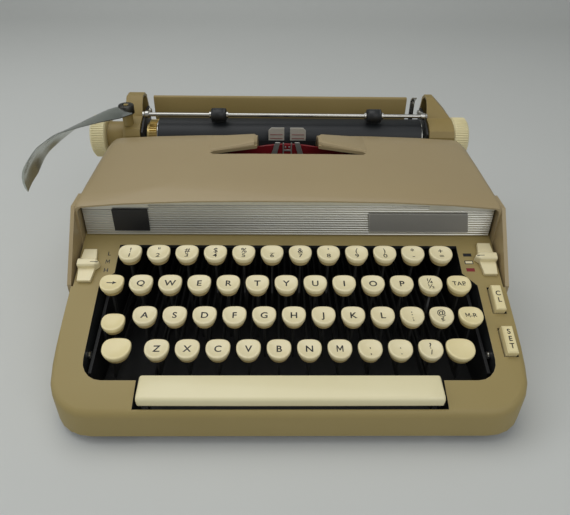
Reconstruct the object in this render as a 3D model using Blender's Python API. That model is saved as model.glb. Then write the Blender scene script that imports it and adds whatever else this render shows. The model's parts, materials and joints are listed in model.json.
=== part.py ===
"""A portable typewriter, built piece by piece in metres with +Z up.

X runs along the keyboard, Y runs from the typist to the carriage and Z is the
height above the desk. The sizes below are driving dimensions; the pieces
read their places from them and from the named clearances.
"""
import math

import bmesh
import bpy
from mathutils import Matrix, Vector

MM = 0.001

# Clearances that many pieces share
FIT = 0.3 * MM
OVERRUN = 20 * MM

# Keyboard layout
KEY_PITCH = 19.05 * MM
ROW_DEPTH = 19.05 * MM
ROW_RISE = 11 * MM
FIRST_ROW_TOP = 45 * MM
KEYBOARD_X = -2.3 * MM
NUMBER_KEYS = 12
NUMBER_ROW = 3
Q_ROW = 2
A_ROW = 1
Z_ROW = 0
Q_OFFSET_SHARE = 0.5
A_OFFSET_SHARE = 0.75
Z_OFFSET_SHARE = 1.25
ROW_LETTERS = {Q_ROW: "qwertyuiop", A_ROW: "asdfghjkl", Z_ROW: "zxcvbnm"}
ROW_SIGNS = {NUMBER_ROW: NUMBER_KEYS, Q_ROW: 1, A_ROW: 2, Z_ROW: 3}

# Key caps
CAP_WIDTH = 16.2 * MM
CAP_DEPTH = 15 * MM
CAP_HEIGHT = 7 * MM
CAP_DISH = 0.9 * MM
CAP_RIM = 1.3 * MM
CAP_FOOT_SHARE = 0.78
CAP_REAR_SHARE = 0.86
CAP_POINTS = 14
CAP_TILT = math.radians(7)
SHIFT_CAP_WIDTH = 19 * MM
SHIFT_CAP_DEPTH = 17 * MM

# Key levers and the rod they rock on
LEVER_THICKNESS = 1.3 * MM
LEVER_BOTTOM = 20 * MM
LEVER_DEPTH = 6 * MM
STEM_WIDTH = 4 * MM
STEM_ENTRY = 1.6 * MM
ROD_RADIUS = 1.5 * MM
ROD_Y = 160 * MM
LEVER_TAIL = 6 * MM
ROD_SIDES = 12

# Keys beside the letter rows
SIDE_KEY_X = 6 * KEY_PITCH
SHIFT_LEFT_X = -106 * MM
SHIFT_RIGHT_X = 109.3 * MM
SHIFT_LEVER_X = 109.5 * MM
SHIFT_SHAFT_Y = 174 * MM
SHIFT_SHAFT_RADIUS = 2.5 * MM
SHIFT_SINK = 1 * MM
LOCK_X = -110.8 * MM
LOCK_Y = ROW_DEPTH - 2.5 * MM
LOCK_DROP = 4 * MM
LOCK_LEVER_X = -116.4 * MM
LOCK_CAP_WIDTH = 15.6 * MM
MARGIN_KEY_SHIFT = 4.7 * MM
MARGIN_KEY_X = SIDE_KEY_X + MARGIN_KEY_SHIFT

# Space bar
SPACE_WIDTH = 183 * MM
SPACE_REAR_Y = -15.5 * MM
SPACE_FRONT_Y = -33 * MM
SPACE_TOP = 38 * MM
SPACE_LIP_TOP = 36 * MM
SPACE_BOTTOM = 29.5 * MM
SPACE_TAPER = 1.4 * MM
SPACE_LIP = 3 * MM
SPACE_ARM_INSET = 4 * MM
LEVERS_PER_PITCH = 4
SPACE_ARM_FRONT = -27 * MM

# Housing
WELL_GAP = 3.4 * MM
WELL_HALF = MARGIN_KEY_X + KEYBOARD_X + CAP_WIDTH / 2 + WELL_GAP
ARM_WIDTH = 18.8 * MM
BODY_HALF_WIDTH = WELL_HALF + ARM_WIDTH
BODY_FRONT_Y = -37 * MM
BODY_REAR_Y = 250 * MM
BODY_BOTTOM = 7.5 * MM
BODY_CORNER = 27 * MM
BODY_REAR_CORNER = 14 * MM
BODY_EDGE = 4 * MM
WALL = 2.5 * MM
DECK_SLOPE = 0.365
DECK_AT_ZERO = 41 * MM
DECK_REAR_Y = 91 * MM
BAY_WALL_TOP = 68 * MM
CARRIAGE_WALL_TOP = 60 * MM
CARRIAGE_BAY_Y = 197 * MM
RAIL_FRONT_TOP = 28 * MM
WELL_REAR_Y = 78 * MM
WELL_REAR_INSET = 8.7 * MM
WELL_REAR_HALF = WELL_HALF - WELL_REAR_INSET
WELL_NARROW_Y = 56 * MM
WELL_WIDEN_Y = 47 * MM
WELL_FRONT_Y = -17 * MM
WELL_CORNER = 13 * MM
ARM_GAP = 2.2 * MM

# Cover
COVER_WALL = 2.5 * MM
COVER_OVERHANG = 2.5 * MM
COVER_SKIRT_HALF = BODY_HALF_WIDTH + COVER_OVERHANG
COVER_SKIRT_BOTTOM = 50 * MM
COVER_SWING_GAP = 0.8 * MM
COVER_CHEEK_Y = 46 * MM
COVER_CHEEK_TOP = 58.5 * MM
COVER_CHEEK_THICKNESS = 2.6 * MM
COVER_LEDGE = 3.9 * MM
COVER_CHEEK_SETBACK = 2 * MM
COVER_CHEEK_DROP = 2.5 * MM
COVER_BROW_Y = 80 * MM
COVER_REAR_Y = 195 * MM
COVER_CROWN = 5 * MM
CROWN_FADE_SHARE = 0.4
COVER_TOP_REAR = 109.5 * MM
COVER_TOP_FRONT = 106 * MM
COVER_SHOULDER = 12 * MM
FRONT_SHOULDER_SHARE = 0.35
COVER_LEAN = 1.8 * MM
COVER_TAPER = 10.7 * MM
COVER_HALF_FRONT = COVER_SKIRT_HALF - COVER_LEAN
COVER_HALF_REAR = COVER_HALF_FRONT - COVER_TAPER
BAY_PLAY = 2.6 * MM
BAY_HALF_WIDTH = COVER_HALF_REAR - BAY_PLAY
HINGE_Y = 188.8 * MM
HINGE_Z = 90 * MM
HINGE_PIN = 2 * MM
HINGE_TAPER_SHARE = 0.38
HINGE_EAR_THICKNESS = 2.5 * MM
HINGE_EAR_HALF_DEPTH = 3.8 * MM

# Type opening in the cover
OPENING_HALF = 60.5 * MM
OPENING_FRONT_Y = 145.5 * MM
OPENING_TIP = 2.6 * MM
LIP_INNER_X = 24.5 * MM
LIP_FRONT_Y = 160 * MM
LIP_REAR_Y = 179 * MM
LIP_RISE = 3.2 * MM
LIP_THICKNESS = 7.5 * MM
LIP_END_ROUND = 2.2 * MM
LIP_STATION_SHARES = (0.0, 0.07, 0.3, 0.65, 1.0)

# Ribbed strip under the brow
TRIM_Y = 87 * MM
TRIM_THICKNESS = 1.8 * MM
TRIM_INSET = 3 * MM
TRIM_HALF = BODY_HALF_WIDTH - TRIM_INSET
TRIM_TOP = 101 * MM
TRIM_RIBS = 10
TRIM_RIB_DEPTH = 0.8 * MM

# Base
PAN_INSET = 7 * MM
PAN_HALF = BODY_HALF_WIDTH - PAN_INSET
PAN_FRONT_Y = -31 * MM
PAN_BOTTOM = 5 * MM
PAN_THICKNESS = 2.2 * MM
FOOT_RADIUS = 9 * MM
FOOT_INSET = 20 * MM
SIDE_PLATE_GAP = 10.4 * MM
SIDE_PLATE_X = BAY_HALF_WIDTH - SIDE_PLATE_GAP
HINGE_EAR_SHIFT = 0.5 * MM
HINGE_EAR_X = SIDE_PLATE_X + HINGE_EAR_SHIFT
SIDE_PLATE_THICKNESS = 2 * MM
SIDE_PLATE_FRONT_Y = -8 * MM
SIDE_PLATE_TOP = 64 * MM
SIDE_PLATE_DROP = 7 * MM
CROSSBAR_Y = 184 * MM
CROSSBAR_DEPTH = 12 * MM
CROSSBAR_BOTTOM = 58 * MM
CROSSBAR_TOP = 65.7 * MM
RAIL_POST_Y = 213 * MM
RAIL_POST_DEPTH = 20 * MM
RAIL_POST_WIDTH = 12 * MM
GUIDE_X = 62 * MM
GUIDE_WIDTH = 3 * MM
GUIDE_BOTTOM = 44 * MM
GUIDE_FRONT_Y = 156 * MM

# Ribbon spools
SPOOL_X = 97 * MM
SPOOL_Y = 128 * MM
SPOOL_RADIUS = 27 * MM
SPOOL_PACK_RADIUS = 22 * MM
SPOOL_BORE = 3.3 * MM
SPOOL_BOTTOM = 66 * MM
SPOOL_HEIGHT = 15 * MM
SPOOL_FLANGE = 1 * MM
SPOOL_POST = 3 * MM
SPOOL_SIDES = 22
SHELF_THICKNESS = 2 * MM
SHELF_INNER_X = 74 * MM
SHELF_FRONT_Y = 104 * MM
SHELF_REAR_Y = 152 * MM

# Typebar basket
BASKET_Y = 170 * MM
BASKET_Z = 80 * MM
BASKET_RADIUS = 30 * MM
BASKET_TILT = math.radians(30)
BASKET_RING_WIDTH = 9 * MM
BASKET_RING_DEPTH = 8 * MM
BASKET_START = math.radians(18)
TYPEBARS = 44
TYPEBAR_LENGTH = 56 * MM
TYPEBAR_THICKNESS = 1 * MM
TYPEBAR_DEPTH = 3.5 * MM
TYPEBAR_SPREAD_SHARE = 0.53
CARRIER_Y = 158 * MM
CARRIER_THICKNESS = 5 * MM
CARRIER_BOTTOM = 49 * MM
CARRIER_TOP = 64 * MM

# Red guard, ribbon vibrator, card guides and ribbon
GUARD_Y = 186 * MM
GUARD_THICKNESS = 2 * MM
GUARD_HALF = 58 * MM
GUARD_TOP = 93 * MM
GUARD_SIDE_TOP = 89 * MM
GUARD_SLOT_HALF = 8 * MM
GUARD_SLOT_BOTTOM = 76 * MM
VIBRATOR_HALF = 17 * MM
VIBRATOR_THICKNESS = 1.2 * MM
VIBRATOR_BOTTOM = 69 * MM
VIBRATOR_BAR_TOP = 75 * MM
VIBRATOR_TOP = 101 * MM
VIBRATOR_TOP_HALF = 6 * MM
VIBRATOR_ARM_WIDTH = 4.2 * MM
CARD_Y = 200 * MM
CARD_THICKNESS = 1.2 * MM
CARD_HALF = 16 * MM
CARD_GAP_HALF = 2.5 * MM
CARD_TOP = 107.6 * MM
CARD_SLOT_BOTTOM = 80 * MM
CARD_FOOT = 10 * MM
RIBBON_WIDTH = 12.4 * MM
RIBBON_THICKNESS = 0.5 * MM
RIBBON_Y = 199.2 * MM
RIBBON_MID_Z = 90.4 * MM
RIBBON_TURN_X = 64 * MM
RIBBON_TURN_Y = 198.2 * MM
RIBBON_TURN_Z = 79.5 * MM
RIBBON_REACH_X = 27 * MM
RIBBON_CLEAR_SHARE = 0.4
RIBBON_STEPS = 5

# Carriage
PLATEN_Y = 222 * MM
PLATEN_Z = 90 * MM
PLATEN_RADIUS = 16.5 * MM
PLATEN_LEFT = -113.4 * MM
PLATEN_RIGHT = 119 * MM
PLATEN_SIDES = 32
SHAFT_RADIUS = 3 * MM
WHEEL_RADIUS = 15 * MM
WHEEL_TEETH = 20
WHEEL_TOOTH = 0.9 * MM
WHEEL_WIDTH = 9.5 * MM
END_PLATE_LEFT = -125 * MM
END_PLATE_RIGHT = 122 * MM
END_PLATE = 2 * MM
END_PLATE_FRONT_Y = 207 * MM
END_PLATE_REAR_Y = 246 * MM
END_PLATE_TOP = 109.5 * MM
RAIL_INSET = 9 * MM
RAIL_HALF = BODY_HALF_WIDTH - RAIL_INSET
RAIL_BOTTOM = 60.5 * MM
RAIL_TOP = 66.5 * MM
RAIL_FRONT_Y = 214 * MM
RAIL_DEPTH = 16 * MM
SLIDE_LIP = 2.5 * MM
SLIDE_PLATE = 3 * MM
SLIDE_REAR_Y = 243 * MM
KNOB_RADIUS = 18.5 * MM
KNOB_WIDTH = 14 * MM
KNOB_END = 2.5 * MM
KNOB_EDGE = 2 * MM
KNOB_FLUTES = 26
KNOB_FLUTE = 0.5 * MM
END_COVER_WALL = 2 * MM
END_COVER_FRONT_Y = 204.5 * MM
END_COVER_REAR_Y = 254 * MM
END_COVER_BOTTOM = 76 * MM
END_COVER_NOSE_TOP = 105.5 * MM
END_COVER_TOP = 122.5 * MM
LEFT_COVER_WIDTH = 15 * MM
RIGHT_COVER_WIDTH = 21.5 * MM
RIGHT_SLOPE_START = 6 * MM
RIGHT_SLOPE_DROP = 15 * MM
SLEEVE_RADIUS = 13 * MM
SLEEVE_LENGTH = 15.2 * MM
TABLE_LEFT = -120.5 * MM
TABLE_RIGHT = 109.5 * MM
TABLE_Y = 244.6 * MM
TABLE_BEND_Z = 92 * MM
TABLE_TOP_Y = 247 * MM
TABLE_TOP_Z = 115.5 * MM
TABLE_THICKNESS = 1.6 * MM
TABLE_ROLL = 2.2 * MM

# Paper bail
BAIL_PIVOT_Y = 240 * MM
BAIL_PIVOT_Z = 106 * MM
BAIL_ROD_Y = 215.5 * MM
BAIL_ROD_Z = 112.8 * MM
BAIL_ROD_RADIUS = 1.7 * MM
BAIL_ARM_WIDTH = 5 * MM
BAIL_ARM = 1.2 * MM
BAIL_ROLLER_RADIUS = 6 * MM
BAIL_ROLLER_WIDTH = 12 * MM
BAIL_ROLLER_SIDES = 16
BAIL_ROLLER_LEFT = -59.1 * MM
BAIL_ROLLER_RIGHT = 75.3 * MM

# Paper release lever
RELEASE_X = 114 * MM
RELEASE_WIDTH = 4 * MM
RELEASE_Y = 241 * MM
RELEASE_TOP = 121 * MM
RELEASE_THICKNESS = 1.5 * MM
RELEASE_TIP = 5 * MM

# Return lever
POST_X = -137.5 * MM
POST_Y = 213 * MM
POST_RADIUS = 4.5 * MM
POST_TOP = 114.5 * MM
POST_PIN = 2 * MM
LEVER_HUB_RADIUS = 6.5 * MM
LEVER_HUB_HEIGHT = 8 * MM
BLADE_THICKNESS = 1.6 * MM
BLADE_WIDTH = 17 * MM
BLADE_TIP_WIDTH = 20 * MM
BLADE_RISE = 7 * MM
BLADE_REACH = 36 * MM
BLADE_LENGTH = 122 * MM
BLADE_STEPS = 12

# Levers and keys on the arms
TOUCH_INSET = 8.8 * MM
TOUCH_X = BODY_HALF_WIDTH - TOUCH_INSET
TOUCH_Y = 61 * MM
TOUCH_WIDTH = 12.4 * MM
TOUCH_LENGTH = 26 * MM
TOUCH_PAD = 2.6 * MM
TOUCH_RIDGE = 6.5 * MM
SELECTOR_X = TOUCH_X
SELECTOR_Y = 67 * MM
TOUCH_STEM = 4 * MM
TOUCH_TRAVEL = 6 * MM
CLEAR_INSET = 8.4 * MM
CLEAR_X = BODY_HALF_WIDTH - CLEAR_INSET
CLEAR_Y = 36 * MM
SET_INSET = 8 * MM
SET_X = BODY_HALF_WIDTH - SET_INSET
SET_Y = 7 * MM
ARM_KEY_WIDTH = 8 * MM
ARM_KEY_LENGTH = 19 * MM
ARM_KEY_RISE = 5 * MM
ARM_KEY_DEPTH = 6 * MM
ARM_KEY_EDGE = 0.9 * MM
SLOT_CLEARANCE = 0.6 * MM

# Finishes: colour, roughness, metallic
TAN = ("tan_enamel", (0.319, 0.258, 0.147), 0.45, 0.0)
CREAM = ("cream_plastic", (0.651, 0.624, 0.423), 0.35, 0.0)
PALE_CREAM = ("pale_cream_plastic", (0.651, 0.597, 0.402), 0.35, 0.0)
DARK_STEEL = ("dark_steel", (0.030, 0.032, 0.034), 0.5, 0.7)
BRIGHT_STEEL = ("bright_steel", (0.55, 0.56, 0.55), 0.25, 1.0)
BRUSHED_ALUMINIUM = ("brushed_aluminium", (0.22, 0.22, 0.18), 0.4, 1.0)
RED_PAINT = ("red_paint", (0.33, 0.02, 0.02), 0.45, 0.0)
BLACK_RUBBER = ("black_rubber", (0.014, 0.015, 0.016), 0.6, 0.0)
BLACK_INK = ("inked_fabric", (0.008, 0.008, 0.01), 0.9, 0.0)
GOLD_METAL = ("gold_metal", (0.48, 0.38, 0.16), 0.35, 1.0)
CLEAR_PLASTIC = ("clear_plastic", (0.75, 0.72, 0.66), 0.15, 0.0)
BRONZE_PAINT = ("bronze_paint", (0.27, 0.215, 0.11), 0.4, 0.2)

SMOOTH_ANGLE = math.radians(32)
BEVEL_ANGLE = math.radians(35)


def deck_height(y):
    """Height of the sloping top of the arms at a place along Y."""
    return DECK_AT_ZERO + DECK_SLOPE * y


def key_x(row, number):
    """Place along X of one key of a letter or number row."""
    shares = {NUMBER_ROW: 0, Q_ROW: Q_OFFSET_SHARE, A_ROW: A_OFFSET_SHARE, Z_ROW: Z_OFFSET_SHARE}
    return KEYBOARD_X + (number + shares[row] - (NUMBER_KEYS - 1) / 2) * KEY_PITCH


def key_top(row):
    """Height of a row's key tops."""
    return FIRST_ROW_TOP + row * ROW_RISE


# Tools that make and join meshes


def placed(axis, along, first, second):
    """Point from its place along an axis and its two places across it."""
    if axis == "x":
        return Vector((along, first, second))
    if axis == "y":
        return Vector((first, along, second))
    return Vector((first, second, along))


def loft(rings, closed=False):
    """Solid through rings that hold the same number of points."""
    mesh = bmesh.new()
    loops = [[mesh.verts.new(point) for point in ring] for ring in rings]
    count = len(loops[0])
    pairs = list(zip(loops, loops[1:]))
    if closed:
        pairs.append((loops[-1], loops[0]))
    else:
        mesh.faces.new(loops[0])
        mesh.faces.new(loops[-1])
    for lower, upper in pairs:
        for index in range(count):
            after = (index + 1) % count
            mesh.faces.new((lower[index], lower[after], upper[after], upper[index]))
    bmesh.ops.recalc_face_normals(mesh, faces=mesh.faces)
    return mesh


def prism(outline, axis, low, high):
    """Outline of two places across an axis, drawn out along that axis."""
    rings = [[placed(axis, along, first, second) for first, second in outline] for along in (low, high)]
    return loft(rings)


def box(low, high):
    """Block between two opposite corners."""
    outline = ((low[0], low[1]), (high[0], low[1]), (high[0], high[1]), (low[0], high[1]))
    return prism(outline, "z", low[2], high[2])


def circle(centre, radius, sides, start=0.0):
    """Points of a circle as two places each."""
    steps = (start + math.tau * index / sides for index in range(sides))
    return [(centre[0] + radius * math.cos(turn), centre[1] + radius * math.sin(turn)) for turn in steps]


def rod(axis, low, high, centre, radius, sides):
    """Straight round bar along an axis."""
    return prism(circle(centre, radius, sides), axis, low, high)


def turned(profile, axis, centre, sides):
    """Closed ring turned from a closed profile of places along the axis and radii."""
    rings = []
    for along, radius in profile:
        rings.append([placed(axis, along, *point) for point in circle(centre, radius, sides)])
    return loft(rings, closed=True)


def arc(centre, radius, start, end, steps):
    """Points of an arc, both ends included."""
    turns = (start + (end - start) * index / steps for index in range(steps + 1))
    return [(centre[0] + radius * math.cos(turn), centre[1] + radius * math.sin(turn)) for turn in turns]


def round_rectangle(low, high, front_corner, rear_corner, steps):
    """Plan outline with round corners, from its front left round to the right."""
    quarter = math.pi / 2
    return (
        arc((low[0] + front_corner, low[1] + front_corner), front_corner, 2 * quarter, 3 * quarter, steps)
        + arc((high[0] - front_corner, low[1] + front_corner), front_corner, 3 * quarter, 4 * quarter, steps)
        + arc((high[0] - rear_corner, high[1] - rear_corner), rear_corner, 0, quarter, steps)
        + arc((low[0] + rear_corner, high[1] - rear_corner), rear_corner, quarter, 2 * quarter, steps)
    )


def as_object(name, mesh):
    """Object that holds a mesh, linked to the scene."""
    data = bpy.data.meshes.new(name)
    mesh.to_mesh(data)
    mesh.free()
    piece = bpy.data.objects.new(name, data)
    bpy.context.scene.collection.objects.link(piece)
    return piece


def boolean(base, tool, operation):
    """One mesh from two; both are used up."""
    base_piece = as_object("base", base)
    tool_piece = as_object("tool", tool)
    change = base_piece.modifiers.new("change", "BOOLEAN")
    change.object = tool_piece
    change.operation = operation
    change.solver = "EXACT"
    result = bmesh.new()
    result.from_object(base_piece, bpy.context.evaluated_depsgraph_get())
    for piece in (base_piece, tool_piece):
        data = piece.data
        bpy.data.objects.remove(piece)
        bpy.data.meshes.remove(data)
    return result


def union(first, *others):
    """All meshes joined into one body."""
    for other in others:
        first = boolean(first, other, "UNION")
    return first


def cut(base, *tools):
    """Base with every tool's space taken away."""
    for tool in tools:
        base = boolean(base, tool, "DIFFERENCE")
    return base


def together(*meshes):
    """Separate bodies held in one mesh, to be used as one tool."""
    result = bmesh.new()
    for mesh in meshes:
        verts = {vert: result.verts.new(vert.co) for vert in mesh.verts}
        for face in mesh.faces:
            result.faces.new([verts[vert] for vert in face.verts])
        mesh.free()
    return result


def mirrored(mesh):
    """Copy of a mesh on the other side of X = 0, with its faces outward."""
    copy = mesh.copy()
    for vert in copy.verts:
        vert.co.x = -vert.co.x
    bmesh.ops.reverse_faces(copy, faces=copy.faces)
    return copy


def moved(mesh, offset):
    """Mesh moved by an offset."""
    bmesh.ops.translate(mesh, verts=mesh.verts, vec=offset)
    return mesh


def softened(mesh, width, segments, keep):
    """Mesh whose sharp edges are rounded, for edges that the test keeps."""
    edges = [
        edge
        for edge in mesh.edges
        if len(edge.link_faces) == 2 and edge.calc_face_angle() > BEVEL_ANGLE and keep(edge)
    ]
    bmesh.ops.bevel(mesh, geom=edges, offset=width, segments=segments, profile=0.5, affect="EDGES")
    return mesh


def finish_material(finish):
    """Material of a finish, made once."""
    name, colour, roughness, metallic = finish
    material = bpy.data.materials.get(name)
    if material is None:
        material = bpy.data.materials.new(name)
        material.use_nodes = True
        shader = material.node_tree.nodes["Principled BSDF"]
        shader.inputs["Base Color"].default_value = (*colour, 1.0)
        shader.inputs["Roughness"].default_value = roughness
        shader.inputs["Metallic"].default_value = metallic
    return material


def piece_data(name, mesh, finish, pivot):
    """Mesh data about a pivot, cleaned, smoothed and with its finish."""
    bmesh.ops.translate(mesh, verts=mesh.verts, vec=-Vector(pivot))
    bmesh.ops.remove_doubles(mesh, verts=mesh.verts, dist=1e-6)
    bmesh.ops.dissolve_degenerate(mesh, edges=mesh.edges, dist=1e-6)
    data = bpy.data.meshes.new(name)
    mesh.to_mesh(data)
    mesh.free()
    data.materials.append(finish_material(finish))
    data.shade_smooth()
    data.set_sharp_from_angle(angle=SMOOTH_ANGLE)
    return data


def add_piece(root, name, mesh, finish, pivot=(0, 0, 0)):
    """Named piece with its origin on its pivot."""
    return add_copy(root, name, piece_data(name, mesh, finish, pivot), pivot)


def add_copy(root, name, data, pivot):
    """Named piece that shares mesh data with its like."""
    piece = bpy.data.objects.new(name, data)
    piece.location = pivot
    piece.parent = root
    bpy.context.scene.collection.objects.link(piece)
    return piece


# Keys


def cap_ring(width, depth, height, x, y, top):
    """Ring of a key cap: flat and wide at the rear, round at the front."""
    ring = []
    for index in range(CAP_POINTS):
        turn = math.tau * (index + 0.5) / CAP_POINTS
        across = math.cos(turn)
        along = math.sin(turn)
        square = CAP_REAR_SHARE if along > 0 else 1.0
        side = math.copysign(abs(across) ** square, across) * width / 2
        reach = math.copysign(abs(along) ** (square * square), along) * depth / 2
        ring.append((side, reach, height))
    tilt = Matrix.Rotation(CAP_TILT, 3, "X")
    return [tilt @ Vector(point) + Vector((x, y, top)) for point in ring]


def cap(x, y, top, width, depth):
    """Key cap with a dished top and sides that draw in to its foot."""
    rings = (
        cap_ring(width * CAP_FOOT_SHARE, depth * CAP_FOOT_SHARE, -CAP_HEIGHT, x, y, top),
        cap_ring(width, depth, -CAP_RIM, x, y, top),
        cap_ring(width - 2 * CAP_RIM, depth - 2 * CAP_RIM, 0, x, y, top),
    )
    mesh = loft(rings)
    mesh.faces.ensure_lookup_table()
    top_face = max(mesh.faces, key=lambda face: face.calc_center_median().z)
    centre = top_face.calc_center_median()
    dished = bmesh.ops.poke(mesh, faces=[top_face])
    dished["verts"][0].co = centre - Vector((0, 0, CAP_DISH))
    return mesh


def lever_outline(front, stem_y, stem_top, notched, tail_y=ROD_Y + LEVER_TAIL):
    """Side view of a lever: bar, upright stem and the notch that rides on the rod."""
    top = LEVER_BOTTOM + LEVER_DEPTH
    reach = (ROD_RADIUS + FIT) / math.cos(math.pi / 6)
    notch = []
    if notched:
        notch = arc((ROD_Y, LEVER_BOTTOM), reach, math.pi, 0, 3)
    return (
        [(front, LEVER_BOTTOM)]
        + notch
        + [
            (tail_y, LEVER_BOTTOM),
            (tail_y, top),
            (stem_y + STEM_WIDTH / 2, top),
            (stem_y + STEM_WIDTH / 2, stem_top),
            (stem_y - STEM_WIDTH / 2, stem_top),
            (front, top),
        ][: None if front < stem_y - STEM_WIDTH / 2 else 5]
    )


def lever(x, stem_y, stem_top, notched=True, tail_y=ROD_Y + LEVER_TAIL):
    """Flat key lever standing on edge under its key."""
    outline = lever_outline(stem_y - STEM_WIDTH / 2, stem_y, stem_top, notched, tail_y)
    return prism(outline, "x", x - LEVER_THICKNESS / 2, x + LEVER_THICKNESS / 2)


def key(x, y, top, width=CAP_WIDTH, depth=CAP_DEPTH, lever_x=None, notched=True, tail_y=ROD_Y + LEVER_TAIL):
    """Key cap joined to its lever."""
    arm_x = x if lever_x is None else lever_x
    arm = lever(arm_x, y, top - CAP_HEIGHT + STEM_ENTRY, notched, tail_y)
    return union(cap(x, y, top, width, depth), arm)


def add_letter_keys(root):
    """One key for each letter; the keys of a row share their mesh."""
    for row, letters in ROW_LETTERS.items():
        pivot = (0, ROD_Y, LEVER_BOTTOM)
        data = piece_data("key_row", key(0, row * ROW_DEPTH, key_top(row)), CREAM, pivot)
        for number, letter in enumerate(letters):
            add_copy(root, "key_" + letter, data, (key_x(row, number), ROD_Y, LEVER_BOTTOM))


def figure_keys():
    """Number and sign keys with their levers on the rod that carries every lever."""
    keys = []
    for row, count in ROW_SIGNS.items():
        first = len(ROW_LETTERS.get(row, ""))
        master = key(0, row * ROW_DEPTH, key_top(row), notched=False)
        for number in range(first, first + count):
            keys.append(moved(master.copy(), Vector((key_x(row, number), 0, 0))))
        master.free()
    reach = SIDE_PLATE_X - FIT
    shaft = rod("x", -reach, reach, (ROD_Y, LEVER_BOTTOM), ROD_RADIUS, ROD_SIDES)
    return union(shaft, together(*keys))


def shift_keys():
    """Both shift keys on the shaft that lifts and lowers the basket."""
    reach = SIDE_PLATE_X - FIT
    shaft = rod("x", -reach, reach, (SHIFT_SHAFT_Y, LEVER_BOTTOM), SHIFT_SHAFT_RADIUS, ROD_SIDES)
    sides = ((SHIFT_LEFT_X, -SHIFT_LEVER_X), (SHIFT_RIGHT_X, SHIFT_LEVER_X))
    keys = []
    for x, lever_x in sides:
        place = (KEYBOARD_X + x, 0, key_top(Z_ROW))
        keys.append(key(*place, SHIFT_CAP_WIDTH, SHIFT_CAP_DEPTH, KEYBOARD_X + lever_x, False, SHIFT_SHAFT_Y))
    notch = rod("x", -reach, reach, (ROD_Y, LEVER_BOTTOM), ROD_RADIUS + FIT + SHIFT_SINK, ROD_SIDES)
    return union(shaft, cut(together(*keys), notch))


def shift_lock():
    """Small lock key beside the left shift key."""
    top = key_top(A_ROW) - LOCK_DROP
    return key(KEYBOARD_X + LOCK_X, LOCK_Y, top, LOCK_CAP_WIDTH, CAP_DEPTH, KEYBOARD_X + LOCK_LEVER_X)


def space_arm_x(side):
    """Place of one arm of the space bar, midway between two key levers and inside the bar's end."""
    spacing = KEY_PITCH / LEVERS_PER_PITCH
    reach = SPACE_WIDTH / 2 - SPACE_ARM_INSET - side * KEYBOARD_X
    return KEYBOARD_X + side * spacing * (math.floor(reach / spacing - 1 / 2) + 1 / 2)


def space_bar():
    """Long bar with a lipped front edge on two arms that rock on the key rod."""
    half = SPACE_WIDTH / 2
    sections = []
    for x, inset in ((-half, SPACE_TAPER), (SPACE_TAPER - half, 0), (half - SPACE_TAPER, 0), (half, SPACE_TAPER)):
        rear = SPACE_REAR_Y - inset / 2
        front = SPACE_FRONT_Y + inset / 2
        drop = inset / 2
        sections.append([
            Vector((x, rear, SPACE_BOTTOM)),
            Vector((x, rear, SPACE_TOP - drop - CAP_RIM)),
            Vector((x, rear - CAP_RIM, SPACE_TOP - drop)),
            Vector((x, front + SPACE_LIP, SPACE_LIP_TOP - drop)),
            Vector((x, front, SPACE_LIP_TOP - SPACE_LIP - drop)),
            Vector((x, front, SPACE_BOTTOM)),
        ])
    arms = []
    outline = lever_outline(SPACE_ARM_FRONT, SPACE_ARM_FRONT + STEM_WIDTH / 2, SPACE_BOTTOM + STEM_ENTRY, True)
    for x in (space_arm_x(-1), space_arm_x(1)):
        arms.append(prism(outline, "x", x - LEVER_THICKNESS / 2, x + LEVER_THICKNESS / 2))
    return union(loft(sections), together(*arms))


# Casing


def body_profile(inset):
    """Side view of the body: sloping arms, then the lower wall round the mechanism."""
    def deck(y):
        return deck_height(y) - inset

    return [
        (BODY_FRONT_Y + inset, BODY_BOTTOM - (OVERRUN if inset else 0)),
        (BODY_FRONT_Y + inset, deck(BODY_FRONT_Y + inset)),
        (DECK_REAR_Y, deck(DECK_REAR_Y)),
        (DECK_REAR_Y + BODY_EDGE, BAY_WALL_TOP - inset),
        (CARRIAGE_BAY_Y, BAY_WALL_TOP - inset),
        (CARRIAGE_BAY_Y + BODY_EDGE, CARRIAGE_WALL_TOP - inset),
        (BODY_REAR_Y - inset, CARRIAGE_WALL_TOP - inset),
        (BODY_REAR_Y - inset, BODY_BOTTOM - (OVERRUN if inset else 0)),
    ]


def well_cutter():
    """Keyboard well: narrower behind, wide and round-cornered in front."""
    quarter = math.pi / 2
    corner = (WELL_HALF - WELL_CORNER, WELL_FRONT_Y + WELL_CORNER)
    left_corner = (-corner[0], corner[1])
    outline = (
        [(WELL_REAR_HALF, WELL_REAR_Y), (-WELL_REAR_HALF, WELL_REAR_Y)]
        + [(-WELL_REAR_HALF, WELL_NARROW_Y), (-WELL_HALF, WELL_WIDEN_Y)]
        + arc(left_corner, WELL_CORNER, 2 * quarter, 3 * quarter, 5)
        + arc(corner, WELL_CORNER, -quarter, 0, 5)
        + [(WELL_HALF, WELL_WIDEN_Y), (WELL_REAR_HALF, WELL_NARROW_Y)]
    )
    return prism(outline, "z", -OVERRUN, COVER_TOP_REAR)


def slope_axes():
    """Directions along the arm's slope and square to it."""
    along = Vector((0, 1, DECK_SLOPE)).normalized()
    upward = Vector((0, -DECK_SLOPE, 1)).normalized()
    return along, upward


def slope_block(x, y, width, length, low, high):
    """Block square to the arm's slope, from a depth below its surface to a height above."""
    along, upward = slope_axes()
    middle = Vector((x, y, deck_height(y)))
    rings = []
    for height in (low, high):
        corners = ((-width, -length), (width, -length), (width, length), (-width, length))
        rings.append([
            middle + Vector((side / 2, 0, 0)) + along * (reach / 2) + upward * height for side, reach in corners
        ])
    return loft(rings)


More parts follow.
